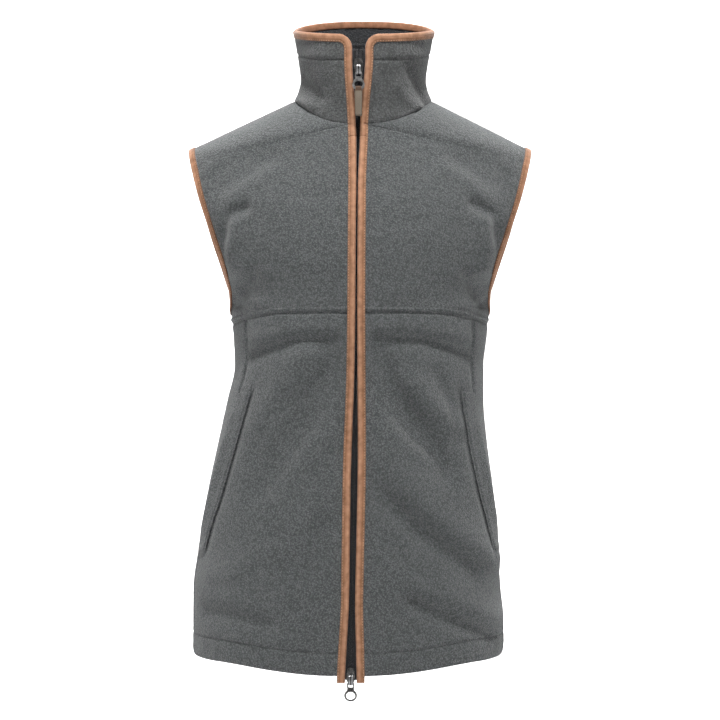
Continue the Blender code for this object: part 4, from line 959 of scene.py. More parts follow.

# %% [markdown]
# Handling leaves its marks: soft blotches on the suede, and metal rubbed bright in places. The marks could
# be painted on, but then they would be lost with each change of shape. Both finishes use one group of soft
# blotches and fine scratches, each with its own values.

# %% Shader group for wear
def wear_group():
    """Blotches and fine scratches, each from 0 to 1."""
    inputs = {"Blotch size": 0.01, "Scratch size": 0.0015}
    tree, start, end = group("handling wear", inputs, {"Blotch": "Float", "Scratch": "Float"})
    over = arithmetic(tree)[-1]
    place = node(tree, "ShaderNodeTexCoord").outputs["Object"]
    long_way = node(tree, "ShaderNodeMapping", Vector=place, Scale=(1.0, 1.0, 0.18)).outputs[0]
    blotch = noise(tree, place, over(1.0, start.outputs["Blotch size"]), 4.0, Roughness=0.6)
    scratch = noise(tree, long_way, over(1.0, start.outputs["Scratch size"]), 3.0)
    for label, source in (("Blotch", blotch), ("Scratch", scratch)):
        tree.links.new(stretched(tree, source, 0.3, 0.7), end.inputs[label])
    return tree


WEAR = wear_group()
print("wear group has", len(WEAR.nodes), "nodes")

# %% [markdown]
# Each finish is a short function. The body and the collar are the same fleece in two tones, and a third,
# darker one is painted shade for the inside of the collar. The thread is darker than the fleece. Hair would
# give a real pile but is heavy, so Sheen on the Principled shader gives the soft pale rim that brushed cloth
# shows where it turns away from the eye.

# %% Fleece and thread
def finish(name, roughness, **settings):
    """A material with a Principled shader whose constant values sit on its own sockets."""
    made = bpy.data.materials.new(name)
    made.use_nodes = True
    shader = made.node_tree.nodes["Principled BSDF"]
    shader.inputs["Roughness"].default_value = roughness
    for label, value in settings.items():
        shader.inputs[label.replace("_", " ")].default_value = value
    return made, made.node_tree, shader


def grouped(tree, source, **values):
    """One of the shared groups placed in a material, with its own values."""
    made = tree.nodes.new("ShaderNodeGroup")
    made.node_tree = source
    for label, value in values.items():
        made.inputs[label.replace("_", " ")].default_value = value
    return made


def dress(tree, shader, colour, height, strength, distance):
    """Feeds a colour into a shader, and a height into its normal through a bump."""
    tree.links.new(colour, shader.inputs["Base Color"])
    made = node(tree, "ShaderNodeBump", Height=height, Strength=strength, Distance=distance)
    tree.links.new(made.outputs[0], shader.inputs["Normal"])


def fleece_finish(name, pale, dark, nub_size, mottle):
    """Brushed fleece of one colour."""
    made, tree, shader = finish(name, 0.95, Sheen_Weight=0.22, Sheen_Roughness=0.55, Specular_IOR_Level=0.15)
    pile = grouped(tree, PILE, Nub_size=nub_size, Mottle=mottle, Pale=(*pale, 1), Dark=(*dark, 1))
    dress(tree, shader, pile.outputs["Colour"], pile.outputs["Height"], 1.0, 0.0015)
    return made


def thread_finish(name, colour):
    """Sewing thread: twisted, so a fine stripe runs across it."""
    made, tree, shader = finish(name, 0.6, Specular_IOR_Level=0.35)
    twist = noise(tree, node(tree, "ShaderNodeTexCoord").outputs["Object"], 1400.0, 2.0)
    dim = [value * 0.55 for value in colour]
    dress(tree, shader, ramp(tree, twist, ((0.35, *dim), (0.65, *colour))), twist, 0.3, 0.0002)
    return made


# the colour on top of a nub, the colour between nubs, the size of a nub in metres and the mottle
FLEECE = fleece_finish("grey fleece", (0.202, 0.212, 0.212), (0.05, 0.054, 0.055), 0.0019, 0.14)
COLLAR_FLEECE = fleece_finish("grey collar fleece", (0.15, 0.155, 0.153), (0.05, 0.052, 0.052), 0.0024, 0.18)
# Painted shade for the inside of the collar: a much darker copy of the collar fleece.
PAINTED_SHADE_TONES = ((0.055, 0.057, 0.06), (0.018, 0.019, 0.021))
PAINTED_SHADE_FLEECE = fleece_finish("shaded collar fleece", *PAINTED_SHADE_TONES, 0.002, 0.12)
GREY_THREAD = thread_finish("grey thread", (0.075, 0.079, 0.079))
BROWN_THREAD = thread_finish("brown thread", (0.075, 0.032, 0.016))
print("fleece and thread are mixed")

# %% [markdown]
# The binding is a tan tape with a suede face, folded in half round the edge. Along it run pale bands of
# painted highlight on its ridges and darker bands of painted shade in its grooves, with a painted dark brown
# shadow beside the cloth. The bands could be separate strips of mesh, but the UV map of a binding runs
# across it in the first direction, so one colour ramp follows every curve. Tape, coil and metal are plainer:
# one colour each, with a weave or a little wear.

# %% Suede, tape, coil, metal and puller
# Pale bands are painted highlight on the tape's ridges; the darker ones are painted shade in its grooves and
# beside the cloth.
SUEDE_PAINTED_LIGHT_BANDS = (
    # share of the way across the tape, then red, green and blue
    (0.0, 0.12, 0.050, 0.025),
    (0.05, 0.16, 0.072, 0.036),
    (0.085, 0.43, 0.255, 0.156),
    (0.12, 0.30, 0.150, 0.082),
    (0.155, 0.23, 0.104, 0.053),
    (0.21, 0.31, 0.158, 0.088),
    (0.31, 0.37, 0.198, 0.115),
    (0.40, 0.30, 0.146, 0.080),
    (0.6, 0.26, 0.120, 0.064),
)
BAND_TOTAL = 26.0


def suede_finish():
    """Tan suede-look tape with lengthwise bands of painted highlight and painted shade, and soft wear."""
    sheen = {"Sheen_Weight": 0.2, "Sheen_Roughness": 0.4}
    made, tree, shader = finish("tan suede", 0.78, Specular_IOR_Level=0.25, **sheen)
    plus, _, times, _ = arithmetic(tree)
    wear = grouped(tree, WEAR, Blotch_size=0.007, Scratch_size=0.0011)
    parts = node(tree, "ShaderNodeSeparateXYZ", Vector=node(tree, "ShaderNodeUVMap").outputs["UV"])
    # The ramp across the tape paints highlight on the ridges and shade in the grooves, and the wear blotches
    # are laid over it.
    bands = ramp(tree, stretched(tree, parts.outputs["X"], 0.0, BAND_TOTAL * MM), SUEDE_PAINTED_LIGHT_BANDS)
    patch = ramp(tree, wear.outputs["Blotch"], ((0.1, 0.72, 0.70, 0.68), (0.9, 1.12, 1.12, 1.14)))
    settings = {"data_type": "RGBA", "blend_type": "MULTIPLY"}
    painted_light_and_wear = node(tree, "ShaderNodeMix", settings, _0=1.0, _6=bands, _7=patch).outputs[2]
    grain = plus(wear.outputs["Scratch"], times(wear.outputs["Blotch"], 0.5))
    dress(tree, shader, painted_light_and_wear, grain, 0.35, 0.0004)
    return made


def woven_finish(name, colour, roughness, thread):
    """Woven tape of one colour."""
    made, tree, shader = finish(name, roughness, Sheen_Weight=0.1, Specular_IOR_Level=0.3)
    weave = grouped(tree, WEAVE, Thread=thread)
    dim = [value * 0.45 for value in colour]
    woven = ramp(tree, weave.outputs["Top"], ((0.15, *dim), (0.85, *colour)))
    dress(tree, shader, woven, weave.outputs["Height"], 0.5, 0.00025)
    return made


def coil_finish():
    """Black moulded filament."""
    made, tree, shader = finish("black coil", 0.4, Specular_IOR_Level=0.5)
    wear = grouped(tree, WEAR, Blotch_size=0.01, Scratch_size=0.0012)
    black = ramp(tree, wear.outputs["Blotch"], ((0.0, 0.010, 0.010, 0.011), (1.0, 0.022, 0.022, 0.024)))
    dress(tree, shader, black, wear.outputs["Scratch"], 0.15, 0.0001)
    return made


def metal_finish(name, low, high):
    """Nickel, rubbed a little brighter in places."""
    made, tree, shader = finish(name, 0.3, Metallic=0.95, Specular_IOR_Level=0.5)
    wear = grouped(tree, WEAR, Blotch_size=0.004, Scratch_size=0.0009)
    rough = stretched(tree, wear.outputs["Scratch"], 0.0, 1.0, 0.24, 0.46)
    tree.links.new(rough, shader.inputs["Roughness"])
    rubbed = ramp(tree, wear.outputs["Blotch"], ((0.2, *low), (0.9, *high)))
    dress(tree, shader, rubbed, wear.outputs["Scratch"], 0.12, 0.0001)
    return made


SUEDE = suede_finish()
ZIP_TAPE = woven_finish("black tape", (0.022, 0.022, 0.024), 0.85, 0.0007)
COIL = coil_finish()
NICKEL = metal_finish("dark nickel", (0.055, 0.054, 0.053), (0.16, 0.155, 0.15))
GREY_NICKEL = metal_finish("grey nickel", (0.15, 0.15, 0.148), (0.36, 0.355, 0.35))
# The paler nickel is a painted highlight for the fronts of the slider's ridges, with the same wear on top.
RIDGE_HIGHLIGHT_NICKEL = metal_finish("nickel with painted highlight", (0.26, 0.26, 0.27), (0.5, 0.5, 0.51))
PULLER = woven_finish("olive grey tape", (0.155, 0.125, 0.092), 0.7, 0.0009)
PULLER_EDGE = woven_finish("brown edge tape", (0.10, 0.055, 0.032), 0.75, 0.0007)
print("finishes:", ", ".join(material.name for material in bpy.data.materials if material.users == 0))

# %% [markdown]
# The front yoke covers the chest from a level seam up to the shoulder and the neck. It could be cut out of a
# whole front with a Boolean, but then its edge would be ragged. Made of its own rows and columns, it ends
# exactly on the seam. The lowest band lies over the turned seam allowance and stands a little proud. A helper
# sews up a fleece piece: it notes the size of its cut, and the lines that stitches will follow.

# %% Front yokes
YOKE_BAND = 8.5
YOKE_STITCHES = (1.9, 7.3)
YOKE_FOOT = 14.0
FRONT_WIDTH = 200.0
FAR = 99.0
THREAD_LIFT = 0.05
cloth_pieces = {}
seam_lines = {}


def sewn_edge(middle, *edges):
    """Moves the edges that meet a neighbour back by half a seam gap."""
    middle = middle.copy()
    turned = middle.transpose(1, 0, 2)
    views = {"foot": middle, "head": middle[::-1], "start": turned, "end": turned[::-1]}
    for edge in edges:
        view = views[edge]
        view[0] += unit(view[1] - view[0]) * SEAM_GAP / 2
    return middle


def follow(points, normals, distance, along_rows=True):
    """A line drawn on a patch at a fixed distance from its first row, or else from its first column."""
    if not along_rows:
        points, normals = points.transpose(1, 0, 2), normals.transpose(1, 0, 2)
    run = climb_of(points)
    line = []
    for k in range(points.shape[1]):
        at, out = (np.array([np.interp(distance, run[:, k], grid[:, k, axis]) for axis in range(3)])
                   for grid in (points, normals))
        line.append(at + unit(out) * THREAD_LIFT)
    return np.array(line)


def sew_up(name, cad, middle, normal, outer, inner, way, lines):
    """A fleece piece as a shell. lines gives the stitched lines by name, as distances from the first row."""
    cloth_pieces[name] = (cad, cut_of(middle))
    made = shell(name, middle, normal, outer, inner, way)
    made.data.materials.append(FLEECE)
    for key, distance in lines.items():
        seam_lines[key] = follow(middle + normal * outer[..., None], normal, distance)
    print(name, len(made.data.polygons), "faces, cut", [round(value, 3) for value in cloth_pieces[name][1]])


def make_fleece_yoke(label, side):
    """One front yoke."""
    columns = stations(FRONT_WIDTH, 2.6) / FRONT_WIDTH
    low_rows = stations(YOKE_FOOT, 1.1) / YOKE_FOOT
    high_rows = np.linspace(1.0, 2.0, 120)
    s, t = np.meshgrid(columns, np.concatenate([low_rows[:-1], high_rows]))
    low = len(low_rows) - 1
    t[:low] = t_on_yoke(s[:low]) + (1 - t_on_yoke(s[:low])) * t[:low]
    middle, normal = body_grid("front", side, s, t)
    run, climb = spread(middle), climb_of(middle)
    on_neck = t[:, :1] >= FRONT_NECK_T
    beside_neck = ease(FRONT_NECK_T - 0.02, FRONT_NECK_T + 0.01, t)
    to_armhole = run[:, -1:] - run
    lift = body_lift("front", s, t, middle, np.where(on_neck, FAR, run), to_armhole)
    lift += 1.1 * (1 - ease(YOKE_BAND - 0.8, YOKE_BAND + 0.8, climb))
    lift += dip(climb, 2.1, 1.3)
    for place in YOKE_STITCHES:
        lift += 1.3 * stitch_marks(climb - place, run, place + side)
    lift += edge_marks(climb[-1] - climb, run, 3.0)
    lift += NECK_SEAM_SHARE * beside_neck * edge_marks(run, climb, 5.0)
    lift += (1 - beside_neck) * pucker(run - 10.0, climb, 9.0, 0.28, 15.0, 2.0 + side)
    lift += pucker(to_armhole - 9.0, climb, 9.0, 0.4, 13.0, 4.0 + side)
    middle = sewn_edge(middle, "foot", "head")
    rows = on_neck[:, 0]
    middle[rows, 0] = off_the_neck(middle[rows, 0], normal[rows, 0], -1)
    lines = {f"yoke_{label}_{number}": place for number, place in enumerate(YOKE_STITCHES)}
    sew_up(f"fleece_yoke_{label}", f"front_yoke_{label}", middle, normal, CLOTH / 2 + lift,
           CLOTH / 2 - 0.4 * lift, side, lines)


for label, side in SIDES:
    make_fleece_yoke(label, side)

# %% [markdown]
# Below the yoke each front is two pieces: a wide one beside the zip and a narrow one that wraps to the side
# seam. Their slanted seam is also the mouth of the pocket. Both have a hem turned up inside and held by a
# line of stitches. A second layer of cloth inside would never be seen, so the lowest band is only made
# thicker, and its edge is round.

# %% Fronts and side pieces
PANEL_TALL = 424.0
PANEL_WIDE = 150.0
SIDE_WIDE = 70.0


def hem_lift(climb, run, seed):
    """The round lower edge and the stitched line of a turned hem."""
    round_edge = -0.9 * np.exp(-(climb / 1.6) ** 2)
    full = 0.5 * ease(2.0, 9.0, climb) * (1 - ease(HEM_BAND - 5.0, HEM_BAND, climb))
    waves = pucker(climb - HEM_BAND / 2, run, 14.0, 0.35, 27.0, seed)
    return round_edge + full + waves + stitch_marks(climb - HEM_BAND, run, seed)


def hem_inner(climb, s):
    """Distance from the middle of the cloth to its inner face, with the turned hem."""
    turned = TURNED_HEM * (1 - ease(HEM_BAND - 1.0, HEM_BAND + 1.0, climb)) * ease(0.08, 0.13, s)
    return CLOTH / 2 + turned - 0.9 * np.exp(-(climb / 1.6) ** 2)


def make_fleece_lower(label, side, kind):
    """A piece below the yoke: the front beside the zip, or the side piece."""
    is_front = kind == "front"
    wide = PANEL_WIDE if is_front else SIDE_WIDE
    columns = stations(wide, 2.5, (wide,) if is_front else (0.0, wide)) / wide
    rows = stations(PANEL_TALL, 2.9, (0.0, HEM_BAND, PANEL_TALL)) / PANEL_TALL
    column_share, share = np.meshgrid(columns, rows)
    seam = panel_seam_s(HEM_FRONT_Z + (YOKE_CENTRE_Z - HEM_FRONT_Z) * share)
    s = column_share * seam if is_front else seam + column_share * (1 - seam)
    middle, normal = body_grid("front", side, s, share * t_on_yoke(s))
    run, climb = spread(middle), climb_of(middle)
    to_end = run[:, -1:] - run
    far = np.full_like(run, FAR)
    height = middle[..., 2]
    lift = body_lift("front", s, share * t_on_yoke(s), middle, run if is_front else far, far)
    lift += edge_marks(climb[-1] - climb, run, 6.0 + side)
    lift += edge_marks(to_end, climb, 7.0 + side)
    lift += hem_lift(climb, run, 2.0 + side)
    if is_front:
        lift += pucker(run - 11.0, climb, 10.0, 0.35, 17.0, 1.0 + side)
        beside = ease(POCKET_END_Z - 12, POCKET_END_Z + 12, height)
        beside = beside * (1 - ease(POCKET_TOP_Z - 6, POCKET_TOP_Z + 14, height))
        lift += beside * dip(to_end - WELT_WIDTH - 1.5, 2.3, 5.0)
    else:
        lift += edge_marks(run, climb, 8.0 + side)
    above = ease(POCKET_TOP_Z - 4, POCKET_TOP_Z + 16, height)
    lift += above * dip(to_end if is_front else run, 2.0 + 0.5 * side, 4.5)
    middle = sewn_edge(middle, *(("head", "end") if is_front else ("head", "start", "end")))
    sew_up(f"fleece_{kind}_{label}", f"{kind}_panel_{label}", middle, normal, CLOTH / 2 + lift,
           hem_inner(climb, s), side, {f"hem_{kind}_{label}": HEM_BAND})


for label, side in SIDES:
    for kind in ("front", "side"):
        make_fleece_lower(label, side, kind)

# %% [markdown]
# The back is one piece from the hem to the neck. A Mirror modifier would make it even, but the worn body
# leans a little to one side. So both halves are made from the same form, and their middle columns are merged
# up to the neck, where the halves part to follow the seam of the collar.

# %% Back
BACK_TALL = 433.0
BACK_WIDE = 250.0


def make_fleece_back():
    """The back in one piece."""
    columns = stations(BACK_WIDE, 3.6, (BACK_WIDE,)) / BACK_WIDE
    low_rows = stations(BACK_TALL, 3.6, (0.0, HEM_BAND)) / BACK_TALL
    high_rows = np.linspace(1.0, 2.0, 105)
    s, t = np.meshgrid(columns, np.concatenate([low_rows[:-1], high_rows]))
    neck_start = int(np.sum(t[:, 0] <= BACK_NECK_T + 1e-6))
    halves = {}
    cut = [0.0, 0.0, 0.0]
    for _, side in SIDES:
        middle, normal = body_grid("back", side, s, t)
        run, climb = spread(middle), climb_of(middle)
        on_neck = t[:, 0] >= BACK_NECK_T - 1e-9
        beside_neck = ease(BACK_NECK_T - 0.02, BACK_NECK_T + 0.01, t)
        low = t[:, -1] <= 1.0 + 1e-9
        above_pit = ease(1.0, 1.06, t)
        to_side = run[:, -1:] - run
        lift = body_lift("back", s, t, middle, np.full_like(run, FAR), np.where(t > 1.0, to_side, FAR))
        lift += (1 - above_pit) * edge_marks(to_side, climb, 9.0 + side)
        lift += above_pit * pucker(to_side - 9.0, climb, 9.0, 0.4, 13.0, 5.0 + side)
        lift += edge_marks(climb[-1] - climb, run, 3.0)
        lift += NECK_SEAM_SHARE * beside_neck * edge_marks(run, climb, 5.0)
        lift += hem_lift(climb, run, 4.0)
        middle[-1, :, 1] += SEAM_GAP / 2
        middle[low, -1, 1] += SEAM_GAP / 2
        middle[on_neck, 0] = off_the_neck(middle[on_neck, 0], normal[on_neck, 0], -1)
        halves[side] = [middle, normal, lift, climb]
        size = cut_of(middle)
        cut = [cut[0] + size[0], max(cut[1], size[1]), cut[2] + size[2]]
    joined = slice(0, neck_start)
    for part in range(3):
        both = (halves[1][part][joined, 0] + halves[-1][part][joined, 0]) / 2
        if part == 1:
            both = unit(both)
        halves[1][part][joined, 0] = both
        halves[-1][part][joined, 0] = both
    made = []
    for _, side in SIDES:
        middle, normal, lift, climb = halves[side]
        inner = hem_inner(climb, np.ones_like(climb))
        inner[joined, 0] = hem_inner((halves[1][3] + halves[-1][3])[joined, 0] / 2, 1.0)
        half = shell("fleece_back", middle, normal, CLOTH / 2 + lift, inner, -side, neck_start)
        made.append(half)
        outside = middle + normal * (CLOTH / 2 + lift)[..., None]
        seam_lines[f"hem_back_{side}"] = follow(outside, normal, HEM_BAND)
    work = bmesh.new()
    for half in made:
        work.from_mesh(half.data)
    bmesh.ops.remove_doubles(work, verts=work.verts, dist=0.02 * MM)
    work.to_mesh(made[0].data)
    work.free()
    bpy.data.objects.remove(made[1], do_unlink=True)
    made[0].name = "fleece_back"
    made[0].data.shade_smooth()
    made[0].data.materials.append(FLEECE)
    cloth_pieces["fleece_back"] = ("back_panel", tuple(cut))
    return made[0]


made = make_fleece_back()
uses = np.bincount([loop.edge_index for loop in made.data.loops])
print(made.name, len(made.data.polygons), "faces,", int((uses != 2).sum()), "open edges")

# %% [markdown]
# The collar stands up round the neck. It is one turned piece, so it is thicker than the body and soft at its
# base, where it bends out over the shoulders and folds beside the zip. Its front corners are round. They
# could be trimmed off afterwards, but the tape has to follow them, so each column just ends at its own
# height.

# %% Collar
COLLAR_TALL = 100.0
COLLAR_LINE = 29.0


def corner_drop(distance):
    """How far the rounded top corner lies under the top edge."""
    over = np.clip(COLLAR_CORNER - distance, 0, COLLAR_CORNER)
    return COLLAR_CORNER - np.sqrt(COLLAR_CORNER ** 2 - over ** 2)


def collar_top_rise(side, degrees):
    """The rise at which the collar ends: 1, or less in the rounded corner beside the zip."""
    edge = collar_plain(side, 0.0, 1.0)
    here = collar_plain(side, degrees, np.ones_like(degrees))
    distance = np.linalg.norm(here - edge, axis=-1)
    tall = collar_height(degrees, 1.0) - collar_height(degrees, 0.0)
    return 1 - corner_drop(distance) / tall


def collar_angles(side, step):
    """Angles round half the collar at even steps, with fine ones in the rounded corner."""
    ladder = np.linspace(0.0, 180.0, 2000)
    points = collar_plain(side, ladder, np.ones_like(ladder))
    run = np.concatenate([[0.0], np.cumsum(np.linalg.norm(np.diff(points, axis=0), axis=-1))])
    places = stations(float(run[-1]), step, (0.0, COLLAR_CORNER / 2), 0.9, COLLAR_CORNER / 2)
    return np.interp(places, run, ladder)


def make_fleece_collar():
    """The collar as one shell from front edge to front edge."""
    parts = {}
    for _, side in SIDES:
        angles = collar_angles(side, 2.6)
        rows = stations(COLLAR_TALL, 2.4, (0.0, COLLAR_TALL - COLLAR_LINE)) / COLLAR_TALL
        degrees, rise = np.meshgrid(angles, rows)
        rise = rise * collar_top_rise(side, degrees)
        middle, normal = collar_sheet(side, degrees, rise)
        normal[0] = seam_normal(side, degrees[0])
        run, climb = spread(middle), climb_of(middle)
        under_top = collar_height(degrees, 1.0) - middle[..., 2]
        front = degrees <= 90
        x, height = middle[..., 0], middle[..., 2]
        folds = np.where(front, fold_height(COLLAR_FRONT_FOLDS, x, height),
                         fold_height(COLLAR_BACK_FOLDS, x, height))
        held = ease(9.0, 18.0, run) * ease(7.0, 16.0, under_top) * (1 - ease(60, 90, degrees) * front)
        held = held * np.where(front, 1.0, ease(90, 120, degrees))
        lift = 1.4 * folds * held
        lift += NECK_SEAM_SHARE * edge_marks(climb, run, 5.0)
        lift += 1.3 * stitch_marks(under_top - COLLAR_LINE, run, 7.0) * ease(8.0, 9.0, run)
        lift += pucker(under_top - 10.0, run, 8.0, 0.35, 19.0, 3.0 + side)
        middle[0] = off_the_neck(middle[0], normal[0], 1)
        outside = middle + normal * (COLLAR_CLOTH / 2 + lift)[..., None]
        lines = []
        for k in range(middle.shape[1]):
            order = np.argsort(-under_top[:, k])
            at = [np.interp(-COLLAR_LINE, -under_top[order, k], outside[order, k, axis]) for axis in range(3)]
            lines.append(np.array(at) + normal[len(rows) // 2, k] * THREAD_LIFT)
        seam_lines[f"collar_{side}"] = np.array(lines)[run[len(rows) // 2] > 8.5]
        parts[side] = (middle, normal, lift)
    middle, normal, lift = (np.concatenate([right, left[:, -2::-1]], axis=1)
                            for right, left in zip(parts[-1], parts[1]))
    cloth_pieces["fleece_collar"] = ("collar", cut_of(middle))
    inner = COLLAR_CLOTH / 2 - 0.7 * lift
    made = shell("fleece_collar", middle, normal, COLLAR_CLOTH / 2 + lift, inner, -1)
    made.data.materials.append(COLLAR_FLEECE)
    # The collar's inner skin gets the darker fleece, which is painted shade.
    made.data.materials.append(PAINTED_SHADE_FLEECE)
    quads = (middle.shape[0] - 1) * (middle.shape[1] - 1)
    for face in made.data.polygons[quads:2 * quads]:
        face.material_index = 1
    return made


made = make_fleece_collar()
print(made.name, len(made.data.polygons), "faces,", round(cloth_pieces[made.name][1][0], 3), "m long")

# %% [markdown]
# A welt is a strip sewn on along the pocket's mouth. It is stitched down along its inner edge and barred at
# both ends, and its free edge stands away from the body where a hand goes in. A flat strip with a Shrinkwrap
# modifier would lie dead flat. Here the strip is laid on the front's own points and lifted most in the
# middle of the free edge.

# %% Pocket welts
WELT_LIFT = 4.4
WELT_STITCH = 2.6
WELT_BAR = 4.0


def make_fleece_welt(label, side):
    """One pocket welt."""
    tall = POCKET_TOP_Z - POCKET_END_Z
    heights = POCKET_END_Z + stations(tall, 2.2, (0.0, tall))
    share = (heights - HEM_FRONT_Z) / (YOKE_CENTRE_Z - HEM_FRONT_Z)
    mouth = panel_seam_s(heights)
    step = 0.001
    edge = sheet_plain("front", side, mouth, share * t_on_yoke(mouth))
    beside = sheet_plain("front", side, mouth - step, share * t_on_yoke(mouth - step))
    per_mm = step / np.linalg.norm(edge - beside, axis=-1)
    inner = mouth - per_mm * WELT_WIDTH
    columns = stations(WELT_WIDTH, 1.7, (0.0, WELT_WIDTH), 0.8) / WELT_WIDTH
    s = inner[:, None] + (mouth - per_mm * SEAM_GAP / 2 - inner)[:, None] * columns[None, :]
    middle, normal = body_grid("front", side, s, share[:, None] * t_on_yoke(s))
    run, climb = spread(middle), climb_of(middle)
    along = np.clip(climb / climb[-1:], 0, 1)
    free = np.sin(np.pi * np.clip((along - 0.06) / 0.88, 0, 1)) ** 0.8
    stand = WELT_LIFT * free * ease(0.25, 1.0, columns)[None, :]
    base = CLOTH / 2 + REST_GAP + stand
    body = WELT_THICK + dip(run, 1.3, 2.2) + dip(run[:, -1:] - run, 0.9, 1.0)
    body += dip(climb, 1.0, 1.2) + dip(climb[-1] - climb, 1.0, 1.2)
    body += stitch_marks(run - WELT_STITCH, climb, 3.0 + side)
    body += pucker(run - 13.0, climb, 12.0, 0.28, 21.0, 2.0 + side)
    name = f"fleece_welt_{label}"
    cloth_pieces[name] = (f"pocket_welt_{label}", cut_of(middle))
    made = shell(name, middle, normal, base + np.maximum(body, 0.5), -base, side)
    made.data.materials.append(FLEECE)
    outside = middle + normal * (base + body)[..., None]
    seam_lines[f"welt_{label}"] = follow(outside, normal, WELT_STITCH, False)
    for number, place in enumerate((WELT_BAR, float(climb[-1].min()) - WELT_BAR)):
        seam_lines[f"welt_{label}_bar_{number}"] = follow(outside, normal, place)[2:-2]
    print(name, len(made.data.polygons), "faces")


for label, side in SIDES:
    make_fleece_welt(label, side)

# %% [markdown]
# All raw edges are bound with a folded tape. A curve with a bevel profile would twist in the corners and cut
# into the cloth. So the tape's section is drawn once, from the raised edge on the outside, over the fold, to
# the shorter leg inside, and carried along each edge. Every leg is seated on the cloth below it, found with
# a k-d tree, so the tape hugs the shoulder and the collar's corners.

# %% Binding helpers
BINDING_SECTION = (
    # distance in from the cut edge and height over the middle of the cloth
    (7.85, 1.42), (7.9, 1.9), (7.65, 2.45), (7.1, 2.72), (6.5, 2.45), (5.9, 2.5), (5.0, 2.85), (4.0, 2.98),
    (3.1, 2.8), (2.2, 3.0), (1.1, 3.05), (0.2, 2.9), (-0.7, 2.45), (-1.4, 1.7), (-1.75, 0.75), (-1.8, -0.2),
    (-1.5, -1.4), (-0.8, -2.3), (0.2, -2.8), (1.8, -2.95), (3.2, -2.85), (3.8, -2.4), (3.9, -1.75),
    (3.6, -1.42), (1.8, -1.42), (0.3, -1.42), (-0.25, -1.1), (-0.4, 0.0), (-0.25, 1.1), (0.3, 1.42),
    (2.6, 1.42), (5.2, 1.42),
)
TAPE_POINTS = 24
BINDING_STITCH = 6.45
STITCH_BLEND = 0.65
INNER_LEG = 3.9


def surface_of(points, normals):
    """A k-d tree of points on the cloth, with the points and the outward directions."""
    tree = kdtree.KDTree(len(points))
    for number, point in enumerate(points):
        tree.insert(point, number)
    tree.balance()
    return tree, points, normals


def cloth_surface(side):
    """The whole form of one side, from the hem to the top of the collar."""
    s, t = np.meshgrid(np.linspace(0, 1, 110), np.linspace(0, 2, 330))
    degrees, rise = np.meshgrid(np.linspace(0, 180, 180), np.linspace(0, 1, 50))
    parts = (sheet("front", side, s, t), sheet("back", side, s, t), collar_sheet(side, degrees, rise))
    return surface_of(*(np.concatenate([grid.reshape(-1, 3) for grid in grids]) for grids in zip(*parts)))


def seat(targets, surface):
    """Points brought onto the cloth, with the outward direction of the cloth there."""
    tree, points, normals = surface
    nearest = [tree.find(Vector(target))[1] for target in targets]
    normal = normals[nearest]
    off = ((targets - points[nearest]) * normal).sum(axis=-1, keepdims=True)
    return targets - normal * off, normal


def bind_edge(name, path, normal, surface, closed, flip, seed, inner_leg=INNER_LEG):
    """A binding along a path. flip is 1 where the cloth lies to the right of the path seen from outside."""
    if closed:
        tangent = unit(np.roll(path, -1, axis=0) - np.roll(path, 1, axis=0))
    else:
        tangent = unit(np.gradient(path, axis=0))
    outward = unit(np.cross(normal, tangent)) * flip
    along = np.concatenate([[0.0], np.cumsum(np.linalg.norm(np.diff(path, axis=0), axis=-1))])
    leg, leg_normal = seat(path - outward * BINDING_LEG, surface)
    mid_leg, mid_normal = seat(path - outward * BINDING_LEG / 2, surface)
    rings, across = [], []
    run = 0.0
    before = None
    for inward, height in BINDING_SECTION:
        if height < -1.41 and inward > 0.2:
            inward = 0.2 + (inward - 0.2) * (inner_leg - 0.2) / (INNER_LEG - 0.2)
        share = np.clip(inward / BINDING_LEG, 0, 1)
        low = np.clip(share * 2, 0, 1)
        high = np.clip(share * 2 - 1, 0, 1)
        place = (path * (1 - low) + mid_leg * low) * (1 - high) + leg * high
        facing = unit((normal * (1 - low) + mid_normal * low) * (1 - high) + leg_normal * high)
        if abs(height) > 1.5:
            waves = pucker(0.0, along, 1.0, 0.16, 9.5, seed) + pucker(0.0, along, 1.0, 0.12, 27.0, 2 * seed)
            height = (height + waves * np.sign(height) * (0.4 + 0.6 * share))[:, None]
        rings.append(place - outward * min(inward, 0.0) + facing * height)
        here = (inward, float(np.mean(height)))
        run += math.dist(before or here, here)
        before = here
        across.append(run)
    rings = np.stack(rings, axis=1)
    count, around = rings.shape[:2]
    faces = []
    for i in range(count if closed else count - 1):
        here, there = i * around, (i + 1) % count * around
        for k in range(around):
            after = (k + 1) % around
            faces.append([here + k, there + k, there + after, here + after])
    if not closed:
        faces += end_faces(count, around)
    if flip < 0:
        faces = [face[::-1] for face in faces]
    uv = np.stack(np.broadcast_arrays(np.array(across)[None, :], along[:, None]), axis=-1).reshape(-1, 2)
    made = mesh_object(name, rings.reshape(-1, 3), faces, uv)
    made.data.materials.append(SUEDE)
    low = path * (1 - STITCH_BLEND) + leg * STITCH_BLEND
    low_normal = unit(normal * (1 - STITCH_BLEND) + leg_normal * STITCH_BLEND)
    line = low - outward * (BINDING_STITCH - STITCH_BLEND * BINDING_LEG) + low_normal * 2.5
    seam_lines[f"{name}_edge"] = np.concatenate([line, line[:1]]) if closed else line
    return made, float(along[-1]) * MM


def end_faces(count, around):
    """Faces that close both ends of a strip: the tape's points are joined to the slot's in a ladder."""
    slot_side = list(range(around - 1, TAPE_POINTS - 1, -1))
    faces = []
    for start, order in ((0, 1), ((count - 1) * around, -1)):
        for k in range(7):
            faces.append([3 * k, 3 * k + 1, 3 * k + 2, 3 * k + 3, slot_side[k + 1], slot_side[k]])
            faces[-1] = [start + index for index in faces[-1]][::order]
        last = [start + index for index in (21, 22, 23, slot_side[7])]
        faces.append(last[::order])
    return faces


